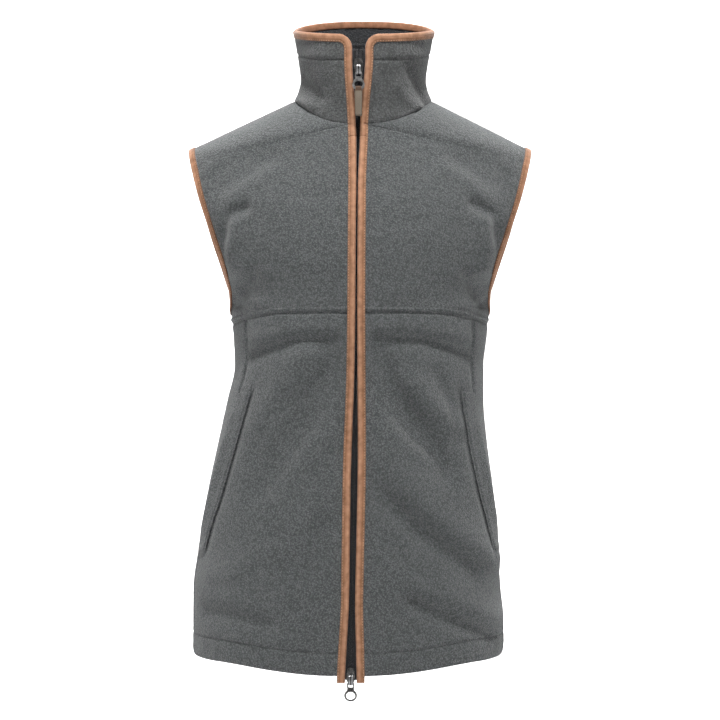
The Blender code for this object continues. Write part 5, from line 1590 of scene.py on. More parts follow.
SURFACES = {side: cloth_surface(side) for _, side in SIDES}
print("the section of the binding has", len(BINDING_SECTION), "points")

# %% [markdown]
# Five lengths of binding go on: one down each front, one round the whole collar that laps the fronts just
# under the neck seam, and one round each armhole. One long strip for the fronts and the collar would be
# simpler, but the real tape is joined below the neck. The lower ends of the front bindings hang a little
# past the hem, as the real ones are folded over there.

# %% Bindings
BINDING_STEP = 2.6


def front_edge_path(side, heights):
    """The front's cut edge beside the zip at some heights below the neck."""
    low_t = [float(t_at_height(height)) for height in heights if height <= PIT_Z]
    ladder = np.linspace(1.0, FRONT_NECK_T, 300)
    high_t = [float(np.interp(height, upper_front_z(ladder), ladder)) for height in heights if height > PIT_Z]
    t = np.array(low_t + high_t)
    return sheet("front", side, np.zeros_like(t), t)


def bind_front(label, side):
    """The binding of one front edge."""
    heights = np.arange(HEM_FRONT_Z, BINDING_JOIN_Z - SEAM_GAP, BINDING_STEP)
    path, normal = front_edge_path(side, np.append(heights, BINDING_JOIN_Z - SEAM_GAP))
    drops = (BINDING_TAIL, BINDING_TAIL - 1.0, 4.0, 2.0)
    path = np.concatenate([[path[0] - UP * drop for drop in drops], path])
    normal = np.concatenate([[normal[0]] * len(drops), normal])
    return bind_edge(f"binding_front_{label}", path, normal, SURFACES[side], False, side, 1.0 + side * 0.4)


def bind_collar():
    """The binding up one front of the collar, round its top and down the other front."""
    halves = {}
    for _, side in SIDES:
        path, normal = front_edge_path(side, np.linspace(BINDING_JOIN_Z, NECK_FRONT_Z - 1.0, 7))
        rises = np.linspace(0.0, 0.83, 34)
        low, low_normal = collar_sheet(side, np.zeros_like(rises), rises)
        blend = np.exp(-np.arange(len(rises)) / 2.0)[:, None]
        low_normal = unit(low_normal * (1 - blend) + normal[-1] * blend)
        degrees = collar_angles(side, BINDING_STEP)[:-1]
        high, high_normal = collar_sheet(side, degrees, collar_top_rise(side, degrees))
        keep = low[:, 2] < high[0, 2] - 1.5
        halves[side] = (np.concatenate([path, low[keep], high]),
                        np.concatenate([normal, low_normal[keep], high_normal]))
    back = collar_sheet(1, np.array([180.0]), np.array([1.0]))
    path, normal = (np.concatenate([right, middle, left[::-1]])
                    for right, middle, left in zip(halves[-1], back, halves[1]))
    both = surface_of(*(np.concatenate(grids) for grids in zip(SURFACES[1][1:], SURFACES[-1][1:])))
    return bind_edge("binding_collar", path, normal, both, False, -1, 2.3, inner_leg=7.4)


def bind_armhole(label, side):
    """The binding of one armhole, a closed ring."""
    t = np.concatenate([np.linspace(1.0, 1.12, 12)[:-1], np.linspace(1.12, 2.0, 90)])
    ones = np.ones_like(t)
    front = body_grid("front", side, ones, t)
    back = body_grid("back", side, ones, t[::-1])
    path, normal = (np.concatenate([first, second[1:-1]]) for first, second in zip(front, back))
    return bind_edge(f"binding_armhole_{label}", path, normal, SURFACES[side], True, -side, 3.1 + side)


bindings = {"collar_binding": bind_collar()}
for label, side in SIDES:
    bindings[f"front_binding_{label}"] = bind_front(label, side)
    bindings[f"armhole_binding_{label}"] = bind_armhole(label, side)
for cad, (made, length) in bindings.items():
    print(made.name, len(made.data.polygons), "faces,", round(length, 3), "m long")

# %% [markdown]
# The zip lies behind the two bindings. Each half has a woven tape, and along the tape's inner edge a black
# filament is wound into a coil. The tape could be a flat ribbon, but it has to start at the zip's line and
# end on the cloth behind the binding. So it is a shell between these two lines, tucked back a little where
# the coil runs over it.

# %% Zip tapes
ACROSS = np.array([1.0, 0.0, 0.0])
TAPE_THICK = 0.9
TAPE_WIDTH = 13.0
TAPE_TAIL = 5.0
TAPE_TUCK = 1.3
CHAIN_HALF = 3.2
CHAIN_THICK = 2.2
ZIP_DEPTH = BINDING_HALF + 1.5 * REST_GAP
TOP_AXIS_Z = 22.5
BOTTOM_AXIS_Z = -696.6
TAPE_TOP_Z = COLLAR_FRONT_TOP - 14.0


def zip_line(height):
    """The zip's line: a point between the front edges, with its upward and outward directions."""
    def point(at):
        at = np.asarray(at, dtype=float)
        rise = np.clip((at - NECK_FRONT_Z) / (COLLAR_FRONT_TOP - NECK_FRONT_Z), 0, 1)
        y = np.where(at > NECK_FRONT_Z, collar_front_y(rise), front_y(at))
        return np.stack([zip_x(at), y, at], axis=-1)

    up = unit(point(np.asarray(height) + 6.0) - point(np.asarray(height) - 6.0))
    return point(height), up, unit(np.cross(ACROSS, up))


def make_tape(label, side):
    """One zip tape."""
    heights = np.arange(HEM_FRONT_Z - TAPE_TAIL, TAPE_TOP_Z, 3.0)
    centre, _, out = zip_line(heights)
    apart = 0.005 + (CHAIN_HALF + REST_GAP) * ease(TOP_AXIS_Z + 9.0, TOP_AXIS_Z + 22.0, heights)
    near = centre + side * ACROSS * apart[:, None]
    reach = CHAIN_HALF + TAPE_WIDTH
    far, facing = seat(centre + side * ACROSS * reach, SURFACES[side])
    away = np.array([0.0, 1.3, 2.6, 3.5, 4.3, 6.0, 9.0, 12.5, reach])
    columns = (away / reach)[None, :, None]
    tucked = TAPE_TUCK * (1 - ease(2.8, 4.6, away))[None, :, None]
    depth = ZIP_DEPTH + TAPE_THICK / 2
    middle = (near - out * depth)[:, None] * (1 - columns) + (far - facing * depth)[:, None] * columns
    normal = unit(out[:, None] * (1 - columns) + facing[:, None] * columns)
    middle = middle - normal * tucked
    half = np.full(middle.shape[:2], TAPE_THICK / 2 - 0.02)
    made = shell(f"tape_{label}", middle, normal, half, half, side)
    made.data.materials.append(ZIP_TAPE)
    cloth_pieces[made.name] = (f"zip_tape_{label}", cut_of(middle))
    return made


for label, side in SIDES:
    made = make_tape(label, side)
    print(made.name, "is", round(cloth_pieces[made.name][1][1], 3), "m long")

# %% [markdown]
# Seen from outside the coil is a row of small bars that mesh in the middle. They repeat nearly a thousand
# times along a curved line, which is work for Geometry Nodes. The tree takes a line, puts points on it at an
# even pitch, and sets one small bar on each, to the left and to the right by turns. Its inputs are named for
# the sizes of a coil. At the end the instances are made real and given their material, because an export
# keeps only real meshes.

# %% Coil of the zip
def line_tree(name, **inputs):
    """A Geometry Nodes tree with named inputs, a line that goes in, and points on it at an even pitch."""
    tree = bpy.data.node_groups.new(name, "GeometryNodeTree")
    for label, kind in {"Line": "Geometry", "Pitch": "Float", **inputs}.items():
        tree.interface.new_socket(label, in_out="INPUT", socket_type=f"NodeSocket{kind}")
    start = tree.nodes.new("NodeGroupInput")
    curve = node(tree, "GeometryNodeMeshToCurve", _0=start.outputs["Line"])
    points = node(tree, "GeometryNodeResampleCurve", {"mode": "LENGTH"}, Curve=curve.outputs[0],
                  Length=start.outputs["Pitch"])
    return tree, start.outputs, points.outputs[0]


def turned_along(tree, axis):
    """A rotation that lays one axis of a shape along the line."""
    tangent = node(tree, "GeometryNodeInputTangent").outputs[0]
    return node(tree, "FunctionNodeAlignRotationToVector", {"axis": axis}, Vector=tangent).outputs[0]


def close_tree(tree, points, shape, turn, size, material):
    """Puts a shape on each point, makes the copies real, smooth and painted, and lets them out."""
    tree.interface.new_socket("Result", in_out="OUTPUT", socket_type="NodeSocketGeometry")
    scale = node(tree, "ShaderNodeCombineXYZ", X=size[0], Y=size[1], Z=size[2]).outputs[0]
    copies = node(tree, "GeometryNodeInstanceOnPoints", Points=points, Instance=shape.outputs[0],
                  Rotation=turn, Scale=scale)
    real = node(tree, "GeometryNodeRealizeInstances", Geometry=copies.outputs[0])
    smooth = node(tree, "GeometryNodeSetShadeSmooth", Geometry=real.outputs[0])
    painted = node(tree, "GeometryNodeSetMaterial", Geometry=smooth.outputs[0], Material=material)
    tree.links.new(painted.outputs[0], tree.nodes.new("NodeGroupOutput").inputs[0])
    return tree


def coil_tree():
    """Small bars set by turns to the left and the right of a line, or all on one side."""
    inputs = {label: "Float" for label in ("Bar reach", "Bar width", "Bar depth", "Side")}
    tree, sizes, points = line_tree("zip coil", **inputs, Filament="Material")
    plus, less, times, _ = arithmetic(tree)
    parity = math_node(tree, "MODULO", node(tree, "GeometryNodeInputIndex").outputs[0], 2.0)
    both_ways = times(less(times(parity, 2.0), 1.0), less(1.0, math_node(tree, "ABSOLUTE", sizes["Side"])))
    shift = times(plus(both_ways, sizes["Side"]), times(sizes["Bar reach"], 0.82))
    offset = node(tree, "ShaderNodeCombineXYZ", X=shift).outputs[0]
    moved = node(tree, "GeometryNodeSetPosition", Geometry=points, Offset=offset).outputs[0]
    bar = node(tree, "GeometryNodeMeshUVSphere", Segments=8, Rings=4, Radius=1.0)
    size = (sizes["Bar reach"], sizes["Bar depth"], sizes["Bar width"])
    return close_tree(tree, moved, bar, turned_along(tree, "Z"), size, sizes["Filament"])


def bake(made):
    """Turns an object and its modifiers into one plain mesh."""
    evaluated = made.evaluated_get(bpy.context.evaluated_depsgraph_get())
    mesh = bpy.data.meshes.new_from_object(evaluated)
    made.modifiers.clear()
    made.data = mesh
    return made


def grown(name, lines, tree, **values):
    """Runs a tree on one or more lines of points in millimetres, and keeps the result as a plain mesh."""
    points, edges = [], []
    for line in lines:
        first = len(points)
        points += [tuple(point) for point in np.asarray(line) * MM]
        edges += [(first + k, first + k + 1) for k in range(len(line) - 1)]
    mesh = bpy.data.meshes.new(name)
    mesh.from_pydata(points, edges, [])
    made = placed(name, mesh)
    change = made.modifiers.new("grow", "NODES")
    change.node_group = tree
    for item in tree.interface.items_tree:
        label = item.name.replace(" ", "_")
        if item.in_out == "INPUT" and label in values:
            change[item.identifier] = values[label]
    bake(made).data.name = name
    return made


def coil_line(low, high, x_shift):
    """The line of the coil from one height to another."""
    heights = np.arange(low, high, 3.0)
    centre, _, out = zip_line(heights)
    return centre - out * (ZIP_DEPTH + CHAIN_THICK / 2) + ACROSS * x_shift


COIL_TREE = coil_tree()
COIL_SIZES = {"Bar_reach": 1.72 * MM, "Bar_width": 0.58 * MM, "Bar_depth": 1.05 * MM, "Filament": COIL}
COIL_PITCH = 0.8 * MM
OPEN_SHIFT = 1.4
line = coil_line(BOTTOM_AXIS_Z + 8.0, TOP_AXIS_Z + 10.0, 0.0)
chain = grown("coil_closed", [line], COIL_TREE, Side=0.0, Pitch=COIL_PITCH, **COIL_SIZES)
open_coils = []
for label, side in SIDES:
    line = coil_line(TOP_AXIS_Z + 12.0, TAPE_TOP_Z, side * OPEN_SHIFT)
    sizes = dict(COIL_SIZES, Side=float(side), Pitch=2 * COIL_PITCH)
    open_coils.append(grown(f"coil_open_{label}", [line], COIL_TREE, **sizes))
print(chain.name, len(chain.data.polygons), "faces")

# %% [markdown]
# A slider is two plates joined by a post, with an arch on the front that holds the pull. The arch here has
# two rounded ridges, which catch the light, and their fronts get a paler nickel as a painted highlight. Each
# plate is an outline given a thickness and a bevel, and the ridges are swept over the arch by a short loop. A
# sculpted slider would look no different at this size.

# %% Sliders
SLIDER_PLATE = 1.4
TOP_SLIDER_HALF = 5.9
BOTTOM_SLIDER_HALF = 5.2
SLIDER_DROP = 15.5
POST_HALF = 1.8
AXIS_RISE = 4.1
ARCH_ROOM = 1.75
ARCH_THICK = 1.2
ARCH_LOW = -2.9
ARCH_HIGH = 10.0
ARCH_STEPS = 14
RIDGE_AT = 1.62
RIDGE_HALF = 0.66


def plate_points(outline, low, high):
    """Points and faces of a flat plate between two depths, from an outline of x and z that runs clockwise."""
    count = len(outline)
    points = [(x, low, z) for x, z in outline] + [(x, high, z) for x, z in outline]
    faces = [list(range(count)), list(range(2 * count - 1, count - 1, -1))]
    for k in range(count):
        after = (k + 1) % count
        faces.append([after, k, k + count, after + count])
    return points, faces


def box_points(low, high):
    """Points and faces of a box."""
    outline = [(low[0], low[2]), (high[0], low[2]), (high[0], high[2]), (low[0], high[2])]
    return plate_points(outline, low[1], high[1])


def smooth_outline(rows, steps):
    """A closed outline through a few points, rounded by repeated corner cutting."""
    points = np.array(rows, dtype=float)
    for _ in range(steps):
        after = np.roll(points, -1, axis=0)
        points = np.stack([points * 0.75 + after * 0.25, points * 0.25 + after * 0.75], axis=1).reshape(-1, 2)
    return [tuple(point) for point in points]


def arch_points(half, at_x, lower):
    """A ridge over the arch: a strip of constant width that rises from the plate, runs up and comes down."""
    outer = -(AXIS_RISE + ARCH_ROOM + ARCH_THICK) + lower
    rise = (ARCH_HIGH - ARCH_LOW) / 2
    middle = (ARCH_HIGH + ARCH_LOW) / 2
    points, faces = [], []
    for k in range(ARCH_STEPS + 1):
        angle = math.pi * k / ARCH_STEPS
        bulge = math.sin(angle) ** 0.5
        turn = -math.copysign(abs(math.cos(angle)) ** 0.8, math.cos(angle))
        for y, reach, order in ((outer, rise, 1), (outer + ARCH_THICK, rise - ARCH_THICK, -1)):
            points += [(at_x + x, y * bulge + 0.2, middle + reach * turn) for x in (-half, half)[::order]]
    for k in range(ARCH_STEPS):
        for m in range(4):
            after = (m + 1) % 4
            faces.append([4 * k + m, 4 * k + after, 4 * k + 4 + after, 4 * k + 4 + m])
    last = 4 * ARCH_STEPS
    faces += [[3, 2, 1, 0], [last, last + 1, last + 2, last + 3]]
    return points, faces


def hard_piece(name, solids, bevel, segments):
    """Several closed shapes in one object, with the same fine bevel."""
    points, faces = [], []
    for more_points, more_faces in solids:
        first = len(points)
        points += list(more_points)
        faces += [[first + index for index in face] for face in more_faces]
    made = mesh_object(name, np.array(points), faces)
    work = bmesh.new()
    work.from_mesh(made.data)
    bmesh.ops.recalc_face_normals(work, faces=work.faces)
    work.to_mesh(made.data)
    work.free()
    change = made.modifiers.new("bevel", "BEVEL")
    change.width = bevel * MM
    change.segments = segments
    change.limit_method = "ANGLE"
    change.angle_limit = math.radians(35)
    change.harden_normals = False
    bake(made).data.shade_smooth()
    made.data.set_sharp_from_angle(angle=math.radians(40))
    return made


def to_zip(made, height):
    """Moves a piece built round the origin onto the zip's line, leaning as the zip leans there."""
    point, up, _ = zip_line(np.array(height))
    lean = math.atan2(-float(up[1]), float(up[2]))
    place = Matrix.Translation(Vector(point * MM)) @ Matrix.Rotation(lean, 4, "X")
    made.data.transform(place)
    return made


def make_slider(name, half_width, height, flip):
    """A slider. flip is 1 where its wide end is at the top and -1 where it is at the bottom."""
    front_low = -ZIP_DEPTH + REST_GAP + SLIDER_PLATE
    shift = 0.0 if flip > 0 else SLIDER_DROP
    rows = ((-1.5, 0.62), (1.5, 0.78), (6.0, 0.92), (10.0, 1.0), (14.0, 0.86), (17.0, 0.55))
    right = [(half_width * share, z * flip + shift) for z, share in rows]
    outline = smooth_outline(right + [(-x, z) for x, z in reversed(right)], 2)
    chain_back = ZIP_DEPTH + CHAIN_THICK + 2 * REST_GAP
    post_low, post_high = (10.6, 16.0) if flip > 0 else (-0.5, 5.6)
    edge = RIDGE_AT + RIDGE_HALF
    solids = [
        plate_points(outline, -front_low, ZIP_DEPTH - REST_GAP),
        plate_points(outline, chain_back, chain_back + SLIDER_PLATE),
        box_points((-POST_HALF, -front_low + 0.4, post_low), (POST_HALF, chain_back + 0.7, post_high)),
        box_points((-edge, -front_low - 1.2, ARCH_LOW + 0.2), (edge, 1.2, 0.4)),
        arch_points(RIDGE_HALF, RIDGE_AT, 0.0),
        arch_points(RIDGE_HALF, -RIDGE_AT, 0.0),
        arch_points(RIDGE_AT, 0.0, 0.75),
    ]
    made = hard_piece(name, solids, 0.3, 2)
    made.data.materials.append(NICKEL)
    made.data.materials.append(RIDGE_HIGHLIGHT_NICKEL)
    # The fronts of the arch's ridges get the paler nickel as a painted highlight.
    for face in made.data.polygons:
        place = face.center / MM
        if place.y < -front_low - 1.0 and abs(abs(place.x) - RIDGE_AT) < RIDGE_HALF + 0.1:
            face.material_index = 1
    return to_zip(made, height)


slider_top = make_slider("slider_top", TOP_SLIDER_HALF, TOP_AXIS_Z, 1)
slider_bottom = make_slider("slider_bottom", BOTTOM_SLIDER_HALF, BOTTOM_AXIS_Z, -1)
print(slider_top.name, len(slider_top.data.polygons), "faces")

# %% [markdown]
# A pull is a short tab with a window for the slider's arch above and a hole below. The lower pull ends in a
# ring, and the upper one widens towards its hole. Each could be a flat outline with two holes, but
# thickening that leaves long thin faces. So the tab is made of a loop round each hole, a closed band from
# the hole's edge to the outer edge, and a waist that joins them.

# %% Pulls
PULL_THICK = 1.2
PULL_BAR_HALF = 4.4
PULL_RING_Z = -14.2
PULL_RING_HALF = 7.6
PULL_RING_RISE = 7.0
RING_HOLE_HALF = 5.2
RING_HOLE_RISE = 4.4
FLARE_HOLE_Z = -13.6
FLARE_LEFT = ((-3.9, -6.2), (-5.6, -9.6), (-7.6, -13.0), (-7.4, -16.6), (-4.8, -20.6))
WAIST_LEFT = ((-2.6, -9.0), (-4.5, -9.2), (-4.1, -5.8))
FLARE_HOLE = (5.0, 3.5)
WINDOW_HALF = 2.7
WINDOW_Z = (-4.6, -1.1)
SQUARISH = 0.45


def band_points(inner, outer, half):
    """A flat closed band between two loops of x and z with the same number of points."""
    count = len(inner)
    points = []
    for loop, depth in ((outer, -half), (inner, -half), (inner, half), (outer, half)):
        points += [(x, depth, z) for x, z in loop]
    faces = []
    for k in range(count):
        after = (k + 1) % count
        for m in range(4):
            this, following = m * count, ((m + 1) % 4) * count
            faces.append([this + k, this + after, following + after, following + k])
    return points, faces


def loop_round(rows, centre, count):
    """A smooth loop through a few points, as seen from a centre at even angles."""
    points = np.array(smooth_outline(rows, 3))
    angles = np.arctan2(points[:, 1] - centre, points[:, 0])
    reach = np.hypot(points[:, 0], points[:, 1] - centre)
    order = np.argsort(angles)
    turns = 2 * np.pi * (np.arange(count) + 0.5) / count
    wrapped = np.where(turns > np.pi, turns - 2 * np.pi, turns)
    far = np.interp(wrapped, angles[order], reach[order], period=2 * np.pi)
    return [(far[k] * math.cos(turns[k]), centre + far[k] * math.sin(turns[k])) for k in range(count)]


def ring_loop(half, rise, centre, count, sharp=1.0):
    """A round or squarish loop of x and z."""
    loop = []
    for k in range(count):
        angle = 2 * math.pi * (k + 0.5) / count
        x = math.copysign(abs(math.cos(angle)) ** sharp, math.cos(angle)) * half
        z = math.copysign(abs(math.sin(angle)) ** sharp, math.sin(angle)) * rise
        loop.append((x, centre + z))
    return loop


def mirrored(left):
    """A whole outline from the points of its left half."""
    return list(left) + [(-x, z) for x, z in reversed(left)]


def hang(made, height):
    """Moves a piece built round a pull's axis to the axis of the slider at some height."""
    point, _, out = zip_line(np.array(height))
    made.data.transform(Matrix.Translation(Vector((point + out * AXIS_RISE) * MM)))
    return made


def make_pull(name, height, flared, metal):
    """A pull tab hanging straight down from its axis. A flared one widens to its hole, or it has a ring."""
    window_middle = sum(WINDOW_Z) / 2
    window_rise = (WINDOW_Z[1] - WINDOW_Z[0]) / 2
    hinge_inner = ring_loop(WINDOW_HALF, window_rise, window_middle, 24, SQUARISH)
    hinge_outer = ring_loop(PULL_BAR_HALF, 3.95, -2.95, 24, SQUARISH)
    ring_inner = ring_loop(RING_HOLE_HALF, RING_HOLE_RISE, PULL_RING_Z - 0.3, 40)
    ring_outer = ring_loop(PULL_RING_HALF, PULL_RING_RISE, PULL_RING_Z, 40)
    if flared:
        ring_inner = ring_loop(*FLARE_HOLE, FLARE_HOLE_Z, 40)
        ring_outer = loop_round(mirrored(FLARE_LEFT), FLARE_HOLE_Z, 40)
    right = [(-x, z) for x, z in reversed(WAIST_LEFT)]
    waist = smooth_outline(right + list(WAIST_LEFT), 2)
    solids = [
        band_points(hinge_inner, hinge_outer, PULL_THICK / 2),
        band_points(ring_inner, ring_outer, PULL_THICK / 2),
        plate_points(waist, -PULL_THICK / 2 + 0.05, PULL_THICK / 2 - 0.05),
    ]
    made = hard_piece(name, solids, 0.28, 2)
    made.data.materials.append(metal)
    return hang(made, height)


pull_top = make_pull("pull_top_tab", TOP_AXIS_Z, True, GREY_NICKEL)
pull_bottom = make_pull("pull_bottom_tab", BOTTOM_AXIS_Z, False, NICKEL)
print(pull_top.name, len(pull_top.data.polygons), "faces")

# %% [markdown]
# A soft tape hangs from the upper pull. It is passed through the ring, folded down and sewn together, so it
# has a loop at the top, two layers below and a darker turned edge on both sides. A cloth simulation could
# hang it, but it is stiff enough to lie straight. The strip follows one line, up behind and down in front,
# and narrows where it goes through the ring.

# %% Soft puller
STRIP_TOP = PULL_RING_Z - 7.4
STRIP_END = -51.5
LOOP_TOP = FLARE_HOLE_Z - 2.3
STRIP_TOP_HALF = 4.9
STRIP_END_HALF = 4.3
LAYER_APART = 0.52
LOOP_RADIUS = 1.27


def make_puller():
    """The soft puller: one strip that goes up behind, through the ring and down in front."""
    rise = np.linspace(STRIP_END, STRIP_TOP, 12)
    turns = np.radians(np.linspace(0, 180, 13))[1:-1]
    loop_z = np.linspace(STRIP_TOP + 1.2, LOOP_TOP - 1.6, 4)
    open_out = 0.75 * ease(STRIP_TOP, STRIP_TOP + 3.0, loop_z)
    behind = [(LAYER_APART, z) for z in rise] + list(zip(LAYER_APART + open_out, loop_z))
    bend = [(LOOP_RADIUS * math.cos(a), LOOP_TOP - 1.55 + LOOP_RADIUS * math.sin(a)) for a in turns]
    line = np.array(behind + bend + [(-y, z) for y, z in reversed(behind)])
    tangent = unit(np.gradient(line, axis=0))
    columns = np.linspace(-1.0, 1.0, 13)
    share = np.clip((line[:, 1] - STRIP_TOP) / (STRIP_END - STRIP_TOP), 0, 1)
    half = STRIP_TOP_HALF + (STRIP_END_HALF - STRIP_TOP_HALF) * share
    narrow = ease(STRIP_TOP - 0.6, STRIP_TOP + 2.4, line[:, 1])
    half = half * (1 - narrow) + 3.4 * narrow
    sway = -0.9 * ease(0.0, 0.25, share)
    x = columns[None, :] * half[:, None]
    middle = np.stack([x, np.broadcast_to((line[:, 0] + sway)[:, None], x.shape),
                       np.broadcast_to(line[:, 1][:, None], x.shape)], axis=-1)
    facing = np.stack([np.zeros_like(half), tangent[:, 1], -tangent[:, 0]], axis=-1)
    normal = np.broadcast_to(facing[:, None], middle.shape)
    thick = np.broadcast_to(0.36 * (1 - 0.5 * np.abs(columns) ** 6), x.shape)
    made = shell("puller_tape", middle, normal, thick, thick, -1)
    made.data.materials.append(PULLER)
    made.data.materials.append(PULLER_EDGE)
    for face in made.data.polygons:
        spot = face.center / MM
        width = float(np.interp(-spot.z, [-STRIP_TOP, -STRIP_END], [STRIP_TOP_HALF, STRIP_END_HALF]))
        if abs(spot.x) > width * 0.84 or spot.z > STRIP_TOP + 0.5:
            face.material_index = 1
    return hang(made, TOP_AXIS_Z)


puller = make_puller()
print(puller.name, len(puller.data.polygons), "faces")

# %% [markdown]
# The sewing is what makes the pieces look joined. There are two rows along the yoke, one round the hem, one
# beside each pocket with a bar at both ends, one under the collar's top and one along the inner edge of
# every binding. A bump texture would be flat from the side. Each row is a line that was read off the
# finished cloth, and one tree puts a short rounded stitch on it at an even pitch, with a little unevenness
# from a fixed seed.

# %% Stitches
def stitch_tree():
    """Short rounded stitches along a line."""
    inputs = {"Stitch length": "Float", "Thread radius": "Float", "Uneven": "Float", "Seed": "Int"}
    tree, sizes, points = line_tree("stitch row", **inputs, Thread="Material")
    _, less, times, _ = arithmetic(tree)
    uneven, radius = sizes["Uneven"], sizes["Thread radius"]
    tilt = node(tree, "FunctionNodeRandomValue", {"data_type": "FLOAT"}, _2=less(0.0, uneven), _3=uneven,
                Seed=sizes["Seed"]).outputs[1]
    tilted = node(tree, "ShaderNodeCombineXYZ", Y=tilt, Z=tilt).outputs[0]
    turn = node(tree, "FunctionNodeRotateRotation", {"rotation_space": "LOCAL"}, _0=turned_along(tree, "X"),
                _1=tilted).outputs[0]
    stitch = node(tree, "GeometryNodeMeshUVSphere", Segments=6, Rings=4, Radius=1.0)
    size = (times(sizes["Stitch length"], 0.5), radius, radius)
    return close_tree(tree, points, stitch, turn, size, sizes["Thread"])


def sew(name, start, pitch, length, radius, thread, seed):
    """One object with the stitches of all rows whose names begin in one way."""
    lines = [line for key, line in seam_lines.items() if key.startswith(start)]
    sizes = {"Pitch": pitch * MM, "Stitch_length": length * MM, "Thread_radius": radius * MM}
    return grown(name, lines, STITCH_TREE, Uneven=UNEVEN, Seed=seed, Thread=thread, **sizes)


UNEVEN = 0.08
STITCH_TREE = stitch_tree()
# the rows' names begin with, pitch, length, radius, thread and seed
stitches = {
    "stitches_yoke": ("yoke_", 3.2, 2.5, 0.36, GREY_THREAD, 3),
    "stitches_hem": ("hem_", 3.4, 2.6, 0.36, GREY_THREAD, 5),
    "stitches_collar": ("collar_", 3.2, 2.5, 0.36, GREY_THREAD, 7),
    "stitches_welts": ("welt_", 2.9, 2.3, 0.38, GREY_THREAD, 11),
    "stitches_bindings": ("binding_", 3.3, 2.2, 0.34, BROWN_THREAD, 13),
}
sewn = {}
for name, values in stitches.items():
    sewn[name] = sew(name, *values)
    print(name, len(sewn[name].data.polygons), "faces")

# %% [markdown]
# A pale floor and a soft light from above keep the cloth's own shading readable. A plain ground and a wall
# would meet in a visible line, so one sheet curves up behind the vest. Its far end glows a little, so that
# it is white.

# %% Floor and light
FLOOR_Z = -0.95
BACKDROP_BACK = 3.4
BACKDROP_TALL = 4.2
BACKDROP_HALF = 5.0
BACKDROP_BEND = 0.9
GLOW_FROM = 1.4
GLOW_TO = 3.4
GLOW_MOST = 0.3


def make_backdrop():
    """A floor that bends up into a wall."""
    bend_start = BACKDROP_BACK - BACKDROP_BEND
    profile = [(-BACKDROP_HALF, 0.0), (bend_start, 0.0)]
    for angle in map(math.radians, range(6, 91, 6)):
        rise = BACKDROP_BEND - BACKDROP_BEND * math.cos(angle)
        profile.append((bend_start + BACKDROP_BEND * math.sin(angle), rise))
    profile.append((BACKDROP_BACK, BACKDROP_TALL))
    points = [(x, y, FLOOR_Z + z) for x in (-BACKDROP_HALF, BACKDROP_HALF) for y, z in profile]
    count = len(profile)
    faces = [[k, k + count, k + count + 1, k + 1] for k in range(count - 1)]
    mesh = bpy.data.meshes.new("backdrop")
    mesh.from_pydata(points, [], faces)
    mesh.shade_smooth()
    paper, tree, shader = finish("pale paper", 0.9, Specular_IOR_Level=0.1)
    place = node(tree, "ShaderNodeTexCoord").outputs["Object"]
    paler = ramp(tree, noise(tree, place, 3.0, 2.0), ((0.3, 0.86, 0.86, 0.86), (0.7, 0.9, 0.9, 0.9)))
    tree.links.new(paler, shader.inputs["Base Color"])
    far = node(tree, "ShaderNodeVectorMath", {"operation": "LENGTH"}, _0=place).outputs["Value"]
    glow = stretched(tree, far, GLOW_FROM, GLOW_TO, 0.0, GLOW_MOST)
    tree.links.new(glow, shader.inputs["Emission Color"])
    shader.inputs["Emission Strength"].default_value = 1.0
    mesh.materials.append(paper)
    return placed("backdrop", mesh)


def soft_light(name, place, aim, size, watts):
    """A square area light that looks at a point."""
    data = bpy.data.lights.new(name, "AREA")
    data.shape = "SQUARE"
    data.size = size
    data.energy = watts
    made = placed(name, data)
    made.location = place
    made.rotation_euler = (Vector(aim) - Vector(place)).to_track_quat("-Z", "Y").to_euler()


backdrop = make_backdrop()
backdrop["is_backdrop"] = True
CHEST = (0.0, 0.0, -0.25)
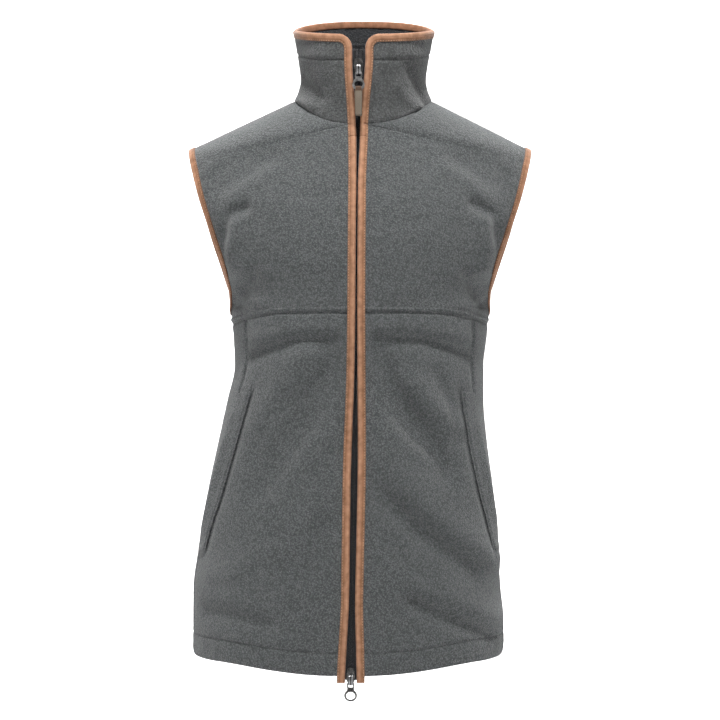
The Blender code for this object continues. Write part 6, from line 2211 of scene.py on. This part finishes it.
# name, place, what it looks at, size in metres and watts
soft_light("light_above", (0.0, -0.85, 1.6), CHEST, 0.45, 66.0)
soft_light("light_left", (-2.1, -0.6, 0.6), CHEST, 0.9, 4.0)
soft_light("light_right", (2.1, -0.6, 0.6), CHEST, 0.9, 2.0)
soft_light("light_wall", (0.0, 1.5, 2.8), (0.0, 3.4, -0.3), 2.0, 260.0)
world = bpy.data.worlds.new("studio")
world.use_nodes = True
sky = world.node_tree
direction = node(sky, "ShaderNodeTexCoord").outputs["Generated"]
level = math_node(sky, "ABSOLUTE", node(sky, "ShaderNodeSeparateXYZ", Vector=direction).outputs["Z"])
pale = ramp(sky, level, ((0.12, 1.0, 1.0, 1.0), (0.5, 0.14, 0.14, 0.14)))
sky.links.new(pale, sky.nodes["Background"].inputs["Color"])
sky.nodes["Background"].inputs["Strength"].default_value = 0.58
bpy.context.scene.world = world
bpy.context.scene.view_settings.view_transform = "Standard"
print("floor is", round(-FLOOR_Z, 3), "m below the neck")

# %% [markdown]
# Last, every piece is tied to the body that carries it, and the solid that it stands for, if any, is
# hidden. The two pulls, which swing on their sliders, get bodies of their own, and the soft tape goes with the
# upper one.


def tie(piece, body, cad=None):
    """Ties a piece to its body, and hides the solid it replaces, if it names one."""
    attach(piece, body)
    if cad:
        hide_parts(cad)


for name, (cad, (wide, tall, area)) in cloth_pieces.items():
    piece = bpy.data.objects[name]
    tie(piece, "vest", cad)
for cad, (piece, length) in bindings.items():
    tie(piece, "vest", cad)

tie(chain, "vest", "zip_chain")
for piece in open_coils:
    tie(piece, "vest")
tie(slider_top, "vest", "zip_slider_top")
tie(slider_bottom, "vest", "zip_slider_bottom")
tie(pull_top, "pull_top", "zip_pull_top")
tie(pull_bottom, "pull_bottom", "zip_pull_bottom")
tie(puller, "pull_top", "zip_puller_strip")
for name, piece in sewn.items():
    tie(piece, "vest")

dressed_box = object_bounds()
sizes = {"cad": [list(map(float, corner)) for corner in cad_box],
         "dressed": [list(map(float, corner)) for corner in dressed_box]}
print("cad box", sizes["cad"])
print("dressed box", sizes["dressed"])
